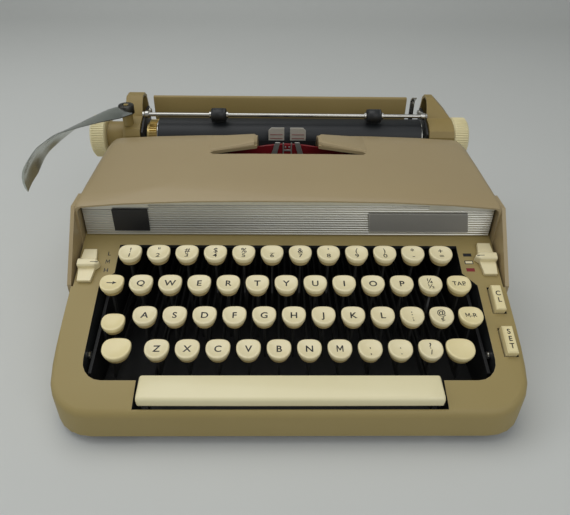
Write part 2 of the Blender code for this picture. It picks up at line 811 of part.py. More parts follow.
def arm_slots():
    """Slots in the arms for the two sliders and the two tabulator keys."""
    play = 2 * SLOT_CLEARANCE
    travel = 2 * TOUCH_TRAVEL + play
    stem = TOUCH_STEM + play
    wide = ARM_KEY_WIDTH + play
    long = ARM_KEY_LENGTH + play
    deep = -OVERRUN
    return together(
        slope_block(-TOUCH_X, TOUCH_Y, stem, TOUCH_STEM + travel, deep, OVERRUN),
        slope_block(SELECTOR_X, SELECTOR_Y, stem, TOUCH_STEM + travel, deep, OVERRUN),
        slope_block(CLEAR_X, CLEAR_Y, wide, long, deep, OVERRUN),
        slope_block(SET_X, SET_Y, wide, long, deep, OVERRUN),
    )


def arm_cavity():
    """Hollow inside the right-hand arm."""
    inner_x = WELL_HALF + WALL
    outer_x = BODY_HALF_WIDTH - WALL
    front = BODY_FRONT_Y + BODY_CORNER
    outline = [
        (front, -OVERRUN),
        (front, deck_height(front) - WALL),
        (DECK_REAR_Y + OVERRUN, deck_height(DECK_REAR_Y + OVERRUN) - WALL),
        (DECK_REAR_Y + OVERRUN, -OVERRUN),
    ]
    return prism(outline, "x", inner_x, outer_x)


def lower_housing():
    """Casing round the keyboard and the mechanism, open above and below."""
    plan = round_rectangle(
        (-BODY_HALF_WIDTH, BODY_FRONT_Y), (BODY_HALF_WIDTH, BODY_REAR_Y), BODY_CORNER, BODY_REAR_CORNER, 6
    )
    shell = prism(body_profile(0), "x", -BODY_HALF_WIDTH - OVERRUN, BODY_HALF_WIDTH + OVERRUN)
    shell = boolean(prism(plan, "z", 0, COVER_TOP_REAR), shell, "INTERSECT")
    lowest = BODY_BOTTOM + FIT
    shell = softened(shell, BODY_EDGE, 3, lambda edge: all(
        vert.co.z > lowest and vert.co.y < DECK_REAR_Y - FIT for vert in edge.verts
    ))
    bay_front = DECK_REAR_Y + FIT
    bay_rear = BODY_REAR_Y - WALL
    bay_x = BAY_HALF_WIDTH - WALL
    bay = box((-bay_x, bay_front, -OVERRUN), (bay_x, bay_rear, COVER_TOP_REAR))
    under_deck = prism(
        [
            (WELL_WIDEN_Y, -OVERRUN),
            (WELL_WIDEN_Y, deck_height(WELL_WIDEN_Y) - WALL),
            (bay_front + FIT, deck_height(bay_front + FIT) - WALL),
            (bay_front + FIT, -OVERRUN),
        ],
        "x", -WELL_HALF, WELL_HALF,
    )
    side = box(
        (BAY_HALF_WIDTH, DECK_REAR_Y + FIT, COVER_SKIRT_BOTTOM - COVER_SWING_GAP),
        (BODY_HALF_WIDTH + OVERRUN, COVER_REAR_Y + WALL, COVER_TOP_REAR),
    )
    ledge = COVER_SKIRT_HALF - COVER_LEDGE
    cheek = prism(cheek_outline(FIT), "x", ledge, BODY_HALF_WIDTH + OVERRUN)
    cavity = arm_cavity()
    both_sides = [mirrored(side), side, mirrored(cheek), cheek, mirrored(cavity), cavity]
    gap = SPACE_WIDTH / 2 + ARM_GAP
    rail_rear = SPACE_FRONT_Y - 2 * FIT
    bar_space = box((-gap, rail_rear, -OVERRUN), (gap, WELL_FRONT_Y + WELL_CORNER, COVER_TOP_REAR))
    front_space = box((-gap, BODY_FRONT_Y - OVERRUN, RAIL_FRONT_TOP), (gap, rail_rear + FIT, COVER_TOP_REAR))
    return cut(
        shell, well_cutter(), bar_space, front_space, bay, under_deck, *both_sides, arm_slots()
    )


def cheek_inner_x():
    """Inner face of the cover's cheeks."""
    return COVER_SKIRT_HALF - COVER_CHEEK_THICKNESS


def cheek_outline(grow):
    """Side view of a cheek, which reaches forward over the arm."""
    top = COVER_TOP_FRONT - COVER_CROWN - COVER_CHEEK_DROP
    return [
        (COVER_CHEEK_Y - grow, COVER_SKIRT_BOTTOM - grow),
        (COVER_CHEEK_Y - grow, COVER_CHEEK_TOP),
        (COVER_BROW_Y + COVER_CHEEK_SETBACK - grow, top),
        (COVER_BROW_Y + OVERRUN, top),
        (COVER_BROW_Y + OVERRUN, COVER_SKIRT_BOTTOM - grow),
    ]


COVER_STATION_SHARES = (
    # place along the depth, height, half width, each as a share between the front and rear sizes
    (0.0, -0.43, 0.08),
    (0.025, 0.0, 0.0),
    (0.14, 0.2, 0.0),
    (0.25, 0.4, 0.0),
    (0.5, 0.75, 0.0),
    (0.76, 1.0, 0.0),
    (0.88, 0.83, 0.03),
    (0.95, -0.2, 0.4),
    (0.985, -2.2, 0.7),
    (1.0, -4.1, 1.0),
)
HOLLOW_FRONT_SHARES = ((-0.15, 0.0, 0.0),)
HOLLOW_REAR_SHARES = ((0.99, -3.95, 1.02), (1.15, -3.95, 1.02))


def cover_section(station, shrink):
    """Ring across the cover at one station: skirts, shoulders and a slight crown."""
    depth_share, height_share, width_share = station
    y = COVER_BROW_Y + (COVER_REAR_Y - COVER_BROW_Y) * depth_share
    top = COVER_TOP_FRONT + (COVER_TOP_REAR - COVER_TOP_FRONT) * height_share - shrink
    half = COVER_HALF_FRONT + (COVER_HALF_REAR - COVER_HALF_FRONT) * width_share - shrink
    skirt = COVER_SKIRT_HALF + (half - COVER_HALF_FRONT + shrink) / 2 - shrink
    bottom = COVER_SKIRT_BOTTOM - (OVERRUN if shrink else 0)
    crown = COVER_CROWN * (1 - CROWN_FADE_SHARE * depth_share)
    edge = top - crown
    shoulder = COVER_SHOULDER * (FRONT_SHOULDER_SHARE + (1 - FRONT_SHOULDER_SHARE) * depth_share)
    right = [(skirt, bottom), (half, edge - shoulder)]
    right += [
        (half - shoulder * (1 - math.cos(turn)), edge - shoulder * (1 - math.sin(turn)))
        for turn in (math.pi * share / 8 for share in (1, 2, 3))
    ]
    flat = half - shoulder
    for share in (1.0, 0.8, 0.5, 0.2):
        right.append((flat * share, edge + crown * (1 - share ** 3)))
    left = [(-across, height) for across, height in reversed(right)]
    return [Vector((across, y, height)) for across, height in right + left]


def cover_shell():
    """Outer form of the cover with its hollow taken out."""
    outer = loft([cover_section(station, 0) for station in COVER_STATION_SHARES])
    inner_stations = HOLLOW_FRONT_SHARES + COVER_STATION_SHARES[1:-1] + HOLLOW_REAR_SHARES
    hollow = loft([cover_section(station, COVER_WALL) for station in inner_stations])
    skirt = COVER_SKIRT_HALF + (COVER_HALF_REAR - COVER_HALF_FRONT) / 2 - COVER_WALL
    ear_top = HINGE_Z + HINGE_EAR_HALF_DEPTH + COVER_WALL / 2
    ear_side = HINGE_EAR_X - COVER_WALL
    side_gap = [
        (ear_side, -OVERRUN),
        (ear_side, ear_top),
        (COVER_HALF_REAR - COVER_WALL, ear_top),
        (skirt, COVER_SKIRT_BOTTOM),
        (skirt, -OVERRUN),
    ]
    gap = prism(side_gap, "y", HINGE_Y + HINGE_PIN + FIT, COVER_REAR_Y + OVERRUN)
    return cut(outer, hollow, mirrored(gap), gap)


def opening_outline():
    """Plan of the type opening: straight in front, drawn to a point at each end."""
    right = [
        (OPENING_HALF - OPENING_TIP, OPENING_FRONT_Y),
        (OPENING_HALF, OPENING_FRONT_Y + OPENING_TIP),
        (OPENING_HALF - OPENING_TIP, OPENING_FRONT_Y + 2 * OPENING_TIP),
        (LIP_INNER_X, LIP_FRONT_Y),
        (LIP_INNER_X, COVER_REAR_Y + OVERRUN),
    ]
    left = [(-across, y) for across, y in reversed(right)]
    return right + left


def lip():
    """Raised, rounded lip behind the opening, which sinks into the cover away from the type gap."""
    sections = []
    for share in LIP_STATION_SHARES:
        x = LIP_INNER_X + (OPENING_HALF - LIP_INNER_X) * share
        round_off = LIP_END_ROUND if share == 0 else 0
        front = LIP_FRONT_Y + (OPENING_FRONT_Y + 2 * OPENING_TIP - LIP_FRONT_Y) * share + round_off
        rear = LIP_REAR_Y - round_off
        top = COVER_TOP_REAR + LIP_RISE * (1 - share) - round_off / 2
        depth = LIP_THICKNESS + (COVER_WALL - LIP_THICKNESS) * share - round_off / 2
        edge = arc((front + depth / 2, top - depth / 2), depth / 2, math.pi / 2, 3 * math.pi / 2, 5)
        ring = edge + [(rear, top - depth), (rear, top - depth / 2), (rear - depth / 2, top)]
        sections.append([Vector((x, y, z)) for y, z in ring])
    return loft(sections)


def top_cover():
    """Hinged cover with its cheeks, type opening, lips and hinge pins."""
    cheek = prism(cheek_outline(0), "x", cheek_inner_x(), COVER_SKIRT_HALF)
    pin_end = COVER_HALF_FRONT - COVER_TAPER * HINGE_TAPER_SHARE - COVER_WALL / 2
    pin = rod("x", HINGE_EAR_X, pin_end, (HINGE_Y, HINGE_Z), HINGE_PIN, ROD_SIDES)
    shell = union(cover_shell(), together(mirrored(cheek), cheek))
    shell = cut(shell, prism(opening_outline(), "z", COVER_SKIRT_BOTTOM, COVER_TOP_REAR + OVERRUN))
    right_lip = lip()
    return union(shell, together(mirrored(right_lip), right_lip), together(mirrored(pin), pin))


def trim_strip():
    """Ribbed strip between the deck and the brow, its top following the brow."""
    bottom = deck_height(TRIM_Y) + FIT
    pitch = (TRIM_TOP - bottom) / TRIM_RIBS
    front = TRIM_Y - TRIM_THICKNESS
    profile = [(TRIM_Y, TRIM_TOP), (TRIM_Y, bottom)]
    for number in range(TRIM_RIBS):
        low = bottom + pitch * number
        profile += [(front + TRIM_RIB_DEPTH, low), (front, low + pitch / 4), (front, low + pitch * 3 / 4)]
    profile.append((front + TRIM_RIB_DEPTH, TRIM_TOP))
    strip = prism(profile, "x", -TRIM_HALF, TRIM_HALF)
    steps = 8
    brow = [(-TRIM_HALF - OVERRUN, bottom - OVERRUN)]
    for index in range(steps + 1):
        share = 2 * index / steps - 1
        drop = COVER_CROWN * abs(share) ** 3
        brow.append((share * (TRIM_HALF + FIT), TRIM_TOP - FIT - drop))
    brow.append((TRIM_HALF + OVERRUN, bottom - OVERRUN))
    return boolean(strip, prism(brow, "y", front - OVERRUN, TRIM_Y + OVERRUN), "INTERSECT")


# Base and fixed mechanism


def side_plate():
    """Right-hand side plate that holds the rods, the shelf, the hinge and the rail."""
    top = PAN_BOTTOM + PAN_THICKNESS / 2
    rear = RAIL_POST_Y + RAIL_POST_DEPTH
    outline = [
        (SIDE_PLATE_FRONT_Y, top),
        (SIDE_PLATE_FRONT_Y, deck_height(SIDE_PLATE_FRONT_Y) - SIDE_PLATE_DROP),
        (WELL_REAR_Y, SIDE_PLATE_TOP - 1.5 * SIDE_PLATE_DROP),
        (SHELF_FRONT_Y, SIDE_PLATE_TOP - FIT),
        (CARRIAGE_BAY_Y, SIDE_PLATE_TOP - FIT),
        (CARRIAGE_BAY_Y, RAIL_BOTTOM - FIT),
        (rear, RAIL_BOTTOM - FIT),
        (rear, top),
    ]
    return prism(outline, "x", SIDE_PLATE_X, SIDE_PLATE_X + SIDE_PLATE_THICKNESS)


def base_frame():
    """Bottom pan on feet with the side plates and the bars between them."""
    top = PAN_BOTTOM + PAN_THICKNESS
    rear = BODY_REAR_Y - WALL
    frame = prism(
        round_rectangle((-PAN_HALF, PAN_FRONT_Y), (PAN_HALF, rear), BODY_CORNER, BODY_REAR_CORNER, 4),
        "z", PAN_BOTTOM, top,
    )
    feet = []
    for x in (PAN_HALF - FOOT_INSET, FOOT_INSET - PAN_HALF):
        for y in (PAN_FRONT_Y + FOOT_INSET, rear - FOOT_INSET):
            feet.append(rod("z", 0, PAN_BOTTOM + PAN_THICKNESS / 2, (x, y), FOOT_RADIUS, 16))
    outer = SIDE_PLATE_X + SIDE_PLATE_THICKNESS / 2
    bar = box((-outer, CROSSBAR_Y, CROSSBAR_BOTTOM), (outer, CROSSBAR_Y + CROSSBAR_DEPTH, CROSSBAR_TOP))
    plate = side_plate()
    shelf = union(
        box(
            (SHELF_INNER_X, SHELF_FRONT_Y, SPOOL_BOTTOM - FIT - SHELF_THICKNESS),
            (outer, SHELF_REAR_Y, SPOOL_BOTTOM - FIT),
        ),
        rod(
            "z", SPOOL_BOTTOM - SHELF_THICKNESS, SPOOL_BOTTOM + SPOOL_HEIGHT + SPOOL_POST,
            (SPOOL_X, SPOOL_Y), SPOOL_POST, ROD_SIDES,
        ),
    )
    post = box(
        (SIDE_PLATE_X - RAIL_POST_WIDTH, RAIL_POST_Y, top - PAN_THICKNESS / 2),
        (outer, RAIL_POST_Y + RAIL_POST_DEPTH, RAIL_BOTTOM - FIT),
    )
    ear = prism(
        arc((HINGE_Y, HINGE_Z), HINGE_EAR_HALF_DEPTH, 0, math.pi, 6)
        + [(HINGE_Y - HINGE_EAR_HALF_DEPTH, CROSSBAR_BOTTOM), (HINGE_Y + HINGE_EAR_HALF_DEPTH, CROSSBAR_BOTTOM)],
        "x", HINGE_EAR_X, HINGE_EAR_X + HINGE_EAR_THICKNESS,
    )
    ear = cut(ear, rod("x", 0, BODY_HALF_WIDTH, (HINGE_Y, HINGE_Z), HINGE_PIN + FIT, ROD_SIDES))
    guide = box(
        (GUIDE_X, GUIDE_FRONT_Y, GUIDE_BOTTOM),
        (GUIDE_X + GUIDE_WIDTH, CROSSBAR_Y + CROSSBAR_DEPTH / 2, CROSSBAR_TOP - FIT),
    )
    frame = union(frame, together(*feet), together(mirrored(plate), plate), bar)
    for side in (shelf, post, ear, guide):
        frame = union(frame, together(mirrored(side), side))
    return frame


def carriage_rail():
    """Rail that the carriage rides on, grooved along both sides."""
    rear = RAIL_FRONT_Y + RAIL_DEPTH
    groove = (RAIL_TOP - RAIL_BOTTOM) / 4
    middle = (RAIL_TOP + RAIL_BOTTOM) / 2
    outline = [
        (RAIL_FRONT_Y, RAIL_BOTTOM),
        (rear, RAIL_BOTTOM),
        (rear, middle - groove),
        (rear - groove, middle),
        (rear, middle + groove),
        (rear, RAIL_TOP),
        (RAIL_FRONT_Y, RAIL_TOP),
        (RAIL_FRONT_Y, middle + groove),
        (RAIL_FRONT_Y + groove, middle),
        (RAIL_FRONT_Y, middle - groove),
    ]
    return prism(outline, "x", -RAIL_HALF, RAIL_HALF)


def spool():
    """Ribbon spool with its wound ribbon between two flanges."""
    top = SPOOL_BOTTOM + SPOOL_HEIGHT
    profile = [
        (SPOOL_BOTTOM, SPOOL_BORE),
        (SPOOL_BOTTOM, SPOOL_RADIUS),
        (SPOOL_BOTTOM + SPOOL_FLANGE, SPOOL_RADIUS),
        (SPOOL_BOTTOM + SPOOL_FLANGE, SPOOL_PACK_RADIUS),
        (top - SPOOL_FLANGE, SPOOL_PACK_RADIUS),
        (top - SPOOL_FLANGE, SPOOL_RADIUS),
        (top, SPOOL_RADIUS),
        (top, SPOOL_BORE),
    ]
    return turned(profile, "z", (SPOOL_X, SPOOL_Y), SPOOL_SIDES)


def typebar_basket():
    """Slotted segment with its fan of typebars at rest, on its sliding carrier."""
    across = Vector((1, 0, 0))
    down = Vector((0, -math.sin(BASKET_TILT), -math.cos(BASKET_TILT)))
    forward = Vector((0, -math.cos(BASKET_TILT), math.sin(BASKET_TILT)))
    centre = Vector((0, BASKET_Y, BASKET_Z))
    rings = []
    steps = 16
    margin = BASKET_START * 0.6
    for index in range(steps + 1):
        turn = margin + (math.pi - 2 * margin) * index / steps
        outward = across * math.cos(turn) + down * math.sin(turn)
        ring = []
        for side, depth in ((-1, -1), (1, -1), (1, 1), (-1, 1)):
            radius = BASKET_RADIUS + side * BASKET_RING_WIDTH / 2
            ring.append(centre + outward * radius + forward * (depth * BASKET_RING_DEPTH / 2))
        rings.append(ring)
    segment = loft(rings)
    lean = math.sqrt(1 - TYPEBAR_SPREAD_SHARE ** 2)
    bars = []
    for index in range(TYPEBARS):
        turn = BASKET_START + (math.pi - 2 * BASKET_START) * index / (TYPEBARS - 1)
        outward = across * math.cos(turn) + down * math.sin(turn)
        beside = across * -math.sin(turn) + down * math.cos(turn)
        along = forward * lean + outward * TYPEBAR_SPREAD_SHARE
        over = along.cross(beside)
        start = centre + outward * BASKET_RADIUS
        ends = []
        for place in (start, start + along * TYPEBAR_LENGTH):
            ends.append([
                place + beside * (side * TYPEBAR_THICKNESS / 2) + over * (rise * TYPEBAR_DEPTH / 2)
                for side, rise in ((-1, -1), (1, -1), (1, 1), (-1, 1))
            ])
        bars.append(loft(ends))
    reach = GUIDE_X - FIT
    carrier = box((-reach, CARRIER_Y, CARRIER_BOTTOM), (reach, CARRIER_Y + CARRIER_THICKNESS, CARRIER_TOP))
    return union(segment, carrier, together(*bars))


def type_guard():
    """Upright guard behind the basket with the slot that the types pass through."""
    low = CROSSBAR_TOP + FIT
    outline = [
        (-GUARD_HALF, low),
        (GUARD_HALF, low),
        (GUARD_HALF, GUARD_SIDE_TOP),
        (GUARD_HALF / 2, GUARD_TOP),
        (GUARD_SLOT_HALF, GUARD_TOP),
        (GUARD_SLOT_HALF / 2, GUARD_SLOT_BOTTOM),
        (-GUARD_SLOT_HALF / 2, GUARD_SLOT_BOTTOM),
        (-GUARD_SLOT_HALF, GUARD_TOP),
        (-GUARD_HALF / 2, GUARD_TOP),
        (-GUARD_HALF, GUARD_SIDE_TOP),
    ]
    return prism(outline, "y", GUARD_Y, GUARD_Y + GUARD_THICKNESS)


def ribbon_vibrator():
    """Two leaning arms on a bar, which lift the ribbon to the print line."""
    arm = VIBRATOR_ARM_WIDTH
    outline = [
        (-VIBRATOR_HALF, VIBRATOR_BOTTOM),
        (VIBRATOR_HALF, VIBRATOR_BOTTOM),
        (VIBRATOR_HALF, VIBRATOR_BAR_TOP + arm),
        (VIBRATOR_TOP_HALF + arm, VIBRATOR_TOP),
        (VIBRATOR_TOP_HALF, VIBRATOR_TOP),
        (VIBRATOR_HALF - arm, VIBRATOR_BAR_TOP),
        (arm - VIBRATOR_HALF, VIBRATOR_BAR_TOP),
        (-VIBRATOR_TOP_HALF, VIBRATOR_TOP),
        (-VIBRATOR_TOP_HALF - arm, VIBRATOR_TOP),
        (-VIBRATOR_HALF, VIBRATOR_BAR_TOP + arm),
    ]
    rear = GUARD_Y - FIT
    return prism(outline, "y", rear - VIBRATOR_THICKNESS, rear)


def card_guides():
    """Two upright guides that hold the paper to the platen, on a slotted bracket."""
    low = CROSSBAR_TOP + FIT
    outline = [
        (-CARD_HALF, low),
        (CARD_HALF, low),
        (CARD_HALF, CARD_TOP - CARD_GAP_HALF),
        (CARD_HALF - CARD_GAP_HALF, CARD_TOP),
        (CARD_GAP_HALF, CARD_TOP),
        (CARD_GAP_HALF, CARD_SLOT_BOTTOM),
        (-CARD_GAP_HALF, CARD_SLOT_BOTTOM),
        (-CARD_GAP_HALF, CARD_TOP),
        (CARD_GAP_HALF - CARD_HALF, CARD_TOP),
        (-CARD_HALF, CARD_TOP - CARD_GAP_HALF),
    ]
    plate = prism(outline, "y", CARD_Y, CARD_Y + CARD_THICKNESS)
    foot = box((-CARD_HALF, CARD_Y - CARD_FOOT, low), (CARD_HALF, CARD_Y + CARD_THICKNESS / 2, low + CARD_THICKNESS))
    return union(plate, foot)


def ribbon():
    """Ribbon drawn from one spool round the guides to the other."""
    start = Vector((SPOOL_X, SPOOL_Y + SPOOL_PACK_RADIUS + RIBBON_THICKNESS, SPOOL_BOTTOM + SPOOL_HEIGHT / 2))
    turn = Vector((RIBBON_TURN_X, RIBBON_TURN_Y, RIBBON_TURN_Z))
    reach = Vector((RIBBON_REACH_X, RIBBON_Y, RIBBON_MID_Z))
    clear = start.lerp(turn, RIBBON_CLEAR_SHARE)
    clear.z = start.z
    right = [start, clear]
    right += [clear.lerp(turn, share / RIBBON_STEPS) for share in range(1, RIBBON_STEPS)]
    right += [turn.lerp(reach, share / RIBBON_STEPS) for share in range(RIBBON_STEPS + 1)]
    left = [Vector((-point.x, point.y, point.z)) for point in reversed(right)]
    sections = []
    for point in right + left:
        half = Vector((0, RIBBON_THICKNESS / 2, 0))
        rise = Vector((0, 0, RIBBON_WIDTH / 2))
        sections.append([point - half - rise, point + half - rise, point + half + rise, point - half + rise])
    return loft(sections)


# Carriage


def platen():
    """Rubber roller on its shaft."""
    left = PLATEN_LEFT
    right = PLATEN_RIGHT
    centre = (PLATEN_Y, PLATEN_Z)
    roller = rod("x", left, right, centre, PLATEN_RADIUS, PLATEN_SIDES)
    shaft = rod("x", left_knob_x() + KNOB_END + FIT, right_knob_x() - KNOB_END - FIT, centre, SHAFT_RADIUS, 16)
    return union(roller, shaft)


def left_knob_x():
    """Outer face of the left knob."""
    return END_PLATE_LEFT - END_PLATE - FIT - LEFT_COVER_WIDTH - SLEEVE_LENGTH - FIT - KNOB_WIDTH


def right_knob_x():
    """Outer face of the right knob."""
    return END_PLATE_RIGHT + END_PLATE + FIT + RIGHT_COVER_WIDTH + FIT + KNOB_WIDTH


def line_space_wheel():
    """Toothed wheel at the platen's left end."""
    right = PLATEN_LEFT - FIT
    outline = []
    for index in range(WHEEL_TEETH):
        turn = math.tau * index / WHEEL_TEETH
        for radius, shift in ((WHEEL_RADIUS, 0), (WHEEL_RADIUS - WHEEL_TOOTH, 0.5)):
            angle = turn + shift * math.tau / WHEEL_TEETH
            outline.append((PLATEN_Y + radius * math.cos(angle), PLATEN_Z + radius * math.sin(angle)))
    wheel = prism(outline, "x", right - WHEEL_WIDTH, right)
    bore = rod("x", right - WHEEL_WIDTH - OVERRUN, right + OVERRUN, (PLATEN_Y, PLATEN_Z), SHAFT_RADIUS + FIT, 16)
    return cut(wheel, bore)


def knob(outer, inward):
    """Fluted knob, closed at its outer end, with the shaft's bore from inside."""
    rings = []
    stations = (
        (0, KNOB_RADIUS - KNOB_EDGE, 0),
        (KNOB_EDGE, KNOB_RADIUS, KNOB_FLUTE),
        (KNOB_WIDTH - KNOB_EDGE / 2, KNOB_RADIUS, KNOB_FLUTE),
        (KNOB_WIDTH, KNOB_RADIUS - KNOB_EDGE / 2, 0),
    )
    for along, radius, flute in stations:
        ring = []
        for index in range(2 * KNOB_FLUTES):
            turn = math.pi * index / KNOB_FLUTES
            reach = radius - flute * (index % 2)
            ring.append(Vector((
                outer + inward * along,
                PLATEN_Y + reach * math.cos(turn),
                PLATEN_Z + reach * math.sin(turn),
            )))
        rings.append(ring)
    body = loft(rings)
    inner = sorted((outer + inward * KNOB_END, outer + inward * (KNOB_WIDTH + OVERRUN)))
    return cut(body, rod("x", *inner, (PLATEN_Y, PLATEN_Z), SHAFT_RADIUS + FIT, 16))


def slide_top():
    """Upper face of the slide that runs on the rail."""
    return RAIL_TOP + FIT + SLIDE_PLATE


def carriage_frame():
    """Slide that hooks over the rail, with the end plates that carry the platen."""
    plate_bottom = RAIL_TOP + FIT
    plate_top = slide_top()
    rail_rear = RAIL_FRONT_Y + RAIL_DEPTH + FIT
    rail_front = RAIL_FRONT_Y - FIT
    low = RAIL_BOTTOM + SLIDE_LIP / 2
    outline = [
        (rail_front - SLIDE_LIP, low),
        (rail_front, low),
        (rail_front, plate_bottom),
        (rail_rear, plate_bottom),
        (rail_rear, low),
        (rail_rear + SLIDE_LIP, low),
        (rail_rear + SLIDE_LIP, plate_bottom),
        (SLIDE_REAR_Y, plate_bottom),
        (SLIDE_REAR_Y, plate_top),
        (rail_front - SLIDE_LIP, plate_top),
    ]
    left = END_PLATE_LEFT - END_PLATE
    right = END_PLATE_RIGHT + END_PLATE
    slide = prism(outline, "x", left + END_PLATE / 2, right - END_PLATE / 2)
    low = plate_bottom
    corner = (END_PLATE_TOP - PLATEN_Z) / 2
    plate = [
        (END_PLATE_FRONT_Y, low),
        (END_PLATE_REAR_Y, low),
        (END_PLATE_REAR_Y, END_PLATE_TOP),
        (BAIL_PIVOT_Y - BAIL_ARM_WIDTH, END_PLATE_TOP),
        (END_PLATE_FRONT_Y + corner, END_PLATE_TOP - BAIL_ARM_WIDTH),
        (END_PLATE_FRONT_Y, END_PLATE_TOP - corner),
    ]
    plates = together(
        prism(plate, "x", left, END_PLATE_LEFT),
        prism(plate, "x", END_PLATE_RIGHT, right),
    )
    bore = rod("x", left - OVERRUN, right + OVERRUN, (PLATEN_Y, PLATEN_Z), SHAFT_RADIUS + FIT, 16)
    return cut(union(slide, plates), bore)


def end_cover_outline(inset):
    """Side view of an end cover: low nose, then a hump behind the platen."""
    front = END_COVER_FRONT_Y + inset
    rear = END_COVER_REAR_Y - inset
    bottom = END_COVER_BOTTOM - (OVERRUN if inset else 0)
    nose = END_COVER_NOSE_TOP - inset
    top = END_COVER_TOP - inset
    span = rear - front
    return [
        (front, bottom),
        (rear, bottom),
        (rear, nose),
        (rear - 0.08 * span, top - 0.25 * (top - nose)),
        (rear - 0.2 * span, top),
        (rear - 0.38 * span, top),
        (rear - 0.5 * span, top - 0.3 * (top - nose)),
        (rear - 0.62 * span, nose + 0.15 * (top - nose)),
        (front + 0.16 * span, nose),
        (front + 0.05 * span, nose - 0.06 * span),
        (front, nose - 0.16 * span),
    ]


def end_cover_left():
    """Left cover with the sleeve round the shaft and the post of the return lever."""
    inner = END_PLATE_LEFT - END_PLATE - FIT
    outer = inner - LEFT_COVER_WIDTH
    body = prism(end_cover_outline(0), "x", outer, inner)
    body = softened(body, END_COVER_WALL, 2, lambda edge: all(vert.co.x < outer + FIT for vert in edge.verts))
    body = cut(body, prism(end_cover_outline(END_COVER_WALL), "x", outer + END_COVER_WALL, inner + OVERRUN))
    centre = (PLATEN_Y, PLATEN_Z)
    sleeve = rod("x", outer - SLEEVE_LENGTH, outer + END_COVER_WALL / 2, centre, SLEEVE_RADIUS, 24)
    post = rod("z", END_COVER_NOSE_TOP - END_COVER_WALL / 2, POST_TOP, (POST_X, POST_Y), POST_RADIUS, 16)
    pin = rod("z", POST_TOP - POST_RADIUS, POST_TOP + LEVER_HUB_HEIGHT, (POST_X, POST_Y), POST_PIN, ROD_SIDES)
    bore = rod("x", outer - SLEEVE_LENGTH - OVERRUN, inner + OVERRUN, centre, SHAFT_RADIUS + FIT, 16)
    return cut(union(body, sleeve, post, pin), bore)


def end_cover_right():
    """Right cover, which slopes down from its hump to the knob."""
    inner = END_PLATE_RIGHT + END_PLATE + FIT
    outer = inner + RIGHT_COVER_WIDTH
    body = prism(end_cover_outline(0), "x", inner, outer)
    wedge = [
        (inner + RIGHT_SLOPE_START, END_COVER_TOP + FIT),
        (outer + OVERRUN, END_COVER_TOP + FIT),
        (outer + OVERRUN, END_COVER_TOP - RIGHT_SLOPE_DROP),
        (outer, END_COVER_TOP - RIGHT_SLOPE_DROP),
    ]
    body = cut(body, prism(wedge, "y", END_COVER_FRONT_Y - OVERRUN, END_COVER_REAR_Y + OVERRUN))
    hollow = prism(end_cover_outline(END_COVER_WALL), "x", inner - OVERRUN, outer - END_COVER_WALL)
    drop = Vector((0, 0, -END_COVER_WALL))
    lowered = [(across - END_COVER_WALL, height + drop.z) for across, height in wedge]
    hollow = cut(hollow, prism(lowered, "y", END_COVER_FRONT_Y - OVERRUN, END_COVER_REAR_Y + OVERRUN))
    bore = rod("x", inner - OVERRUN, outer + OVERRUN, (PLATEN_Y, PLATEN_Z), SHAFT_RADIUS + FIT, 16)
    return cut(body, hollow, bore)


def paper_table():
    """Sheet behind the platen that the paper leans on, with a rolled top edge."""
    low = slide_top() + FIT
    thickness = TABLE_THICKNESS
    outline = (
        [(SLIDE_REAR_Y - thickness, low), (TABLE_Y + thickness, low)]
        + [(TABLE_Y + thickness, TABLE_BEND_Z), (TABLE_TOP_Y + thickness, TABLE_TOP_Z)]
        + arc((TABLE_TOP_Y, TABLE_TOP_Z + TABLE_ROLL / 2), TABLE_ROLL, 0, math.pi, 4)
        + [(TABLE_Y, TABLE_BEND_Z), (TABLE_Y, low + thickness), (SLIDE_REAR_Y - thickness, low + thickness)]
    )
    return prism(outline, "x", TABLE_LEFT, TABLE_RIGHT)


def paper_bail():
    """Rod with two rollers on arms that pivot on the end plates."""
    left = END_PLATE_LEFT + FIT
    right = END_PLATE_RIGHT - FIT
    centre = (BAIL_ROD_Y, BAIL_ROD_Z)
    bar = rod("x", left + BAIL_ARM / 2, right - BAIL_ARM / 2, centre, BAIL_ROD_RADIUS, 10)
    rollers = together(*(
        rod("x", x - BAIL_ROLLER_WIDTH / 2, x + BAIL_ROLLER_WIDTH / 2, centre, BAIL_ROLLER_RADIUS, BAIL_ROLLER_SIDES)
        for x in (BAIL_ROLLER_LEFT, BAIL_ROLLER_RIGHT)
    ))
    lean = math.atan2(BAIL_ROD_Z - BAIL_PIVOT_Z, BAIL_ROD_Y - BAIL_PIVOT_Y)
    quarter = math.pi / 2
    half = BAIL_ARM_WIDTH / 2
    outline = arc((BAIL_PIVOT_Y, BAIL_PIVOT_Z), half, lean + quarter, lean + 3 * quarter, 5)
    outline += arc(centre, half, lean - quarter, lean + quarter, 5)
    arms = together(
        prism(outline, "x", left, left + BAIL_ARM),
        prism(outline, "x", right - BAIL_ARM, right),
    )
    return union(bar, rollers, arms)


def release_lever():
    """Upright lever at the right that frees the paper."""
    low = slide_top() + FIT
    thickness = RELEASE_THICKNESS
    tip = RELEASE_TIP
    outline = [
        (RELEASE_Y, low),
        (RELEASE_Y + thickness, low),
        (RELEASE_Y + thickness, RELEASE_TOP - tip / 2),
        (RELEASE_Y - tip, RELEASE_TOP + thickness),
        (RELEASE_Y - tip, RELEASE_TOP),
        (RELEASE_Y, RELEASE_TOP - tip / 2 - thickness),
    ]
    return prism(outline, "x", RELEASE_X - RELEASE_WIDTH / 2, RELEASE_X + RELEASE_WIDTH / 2)


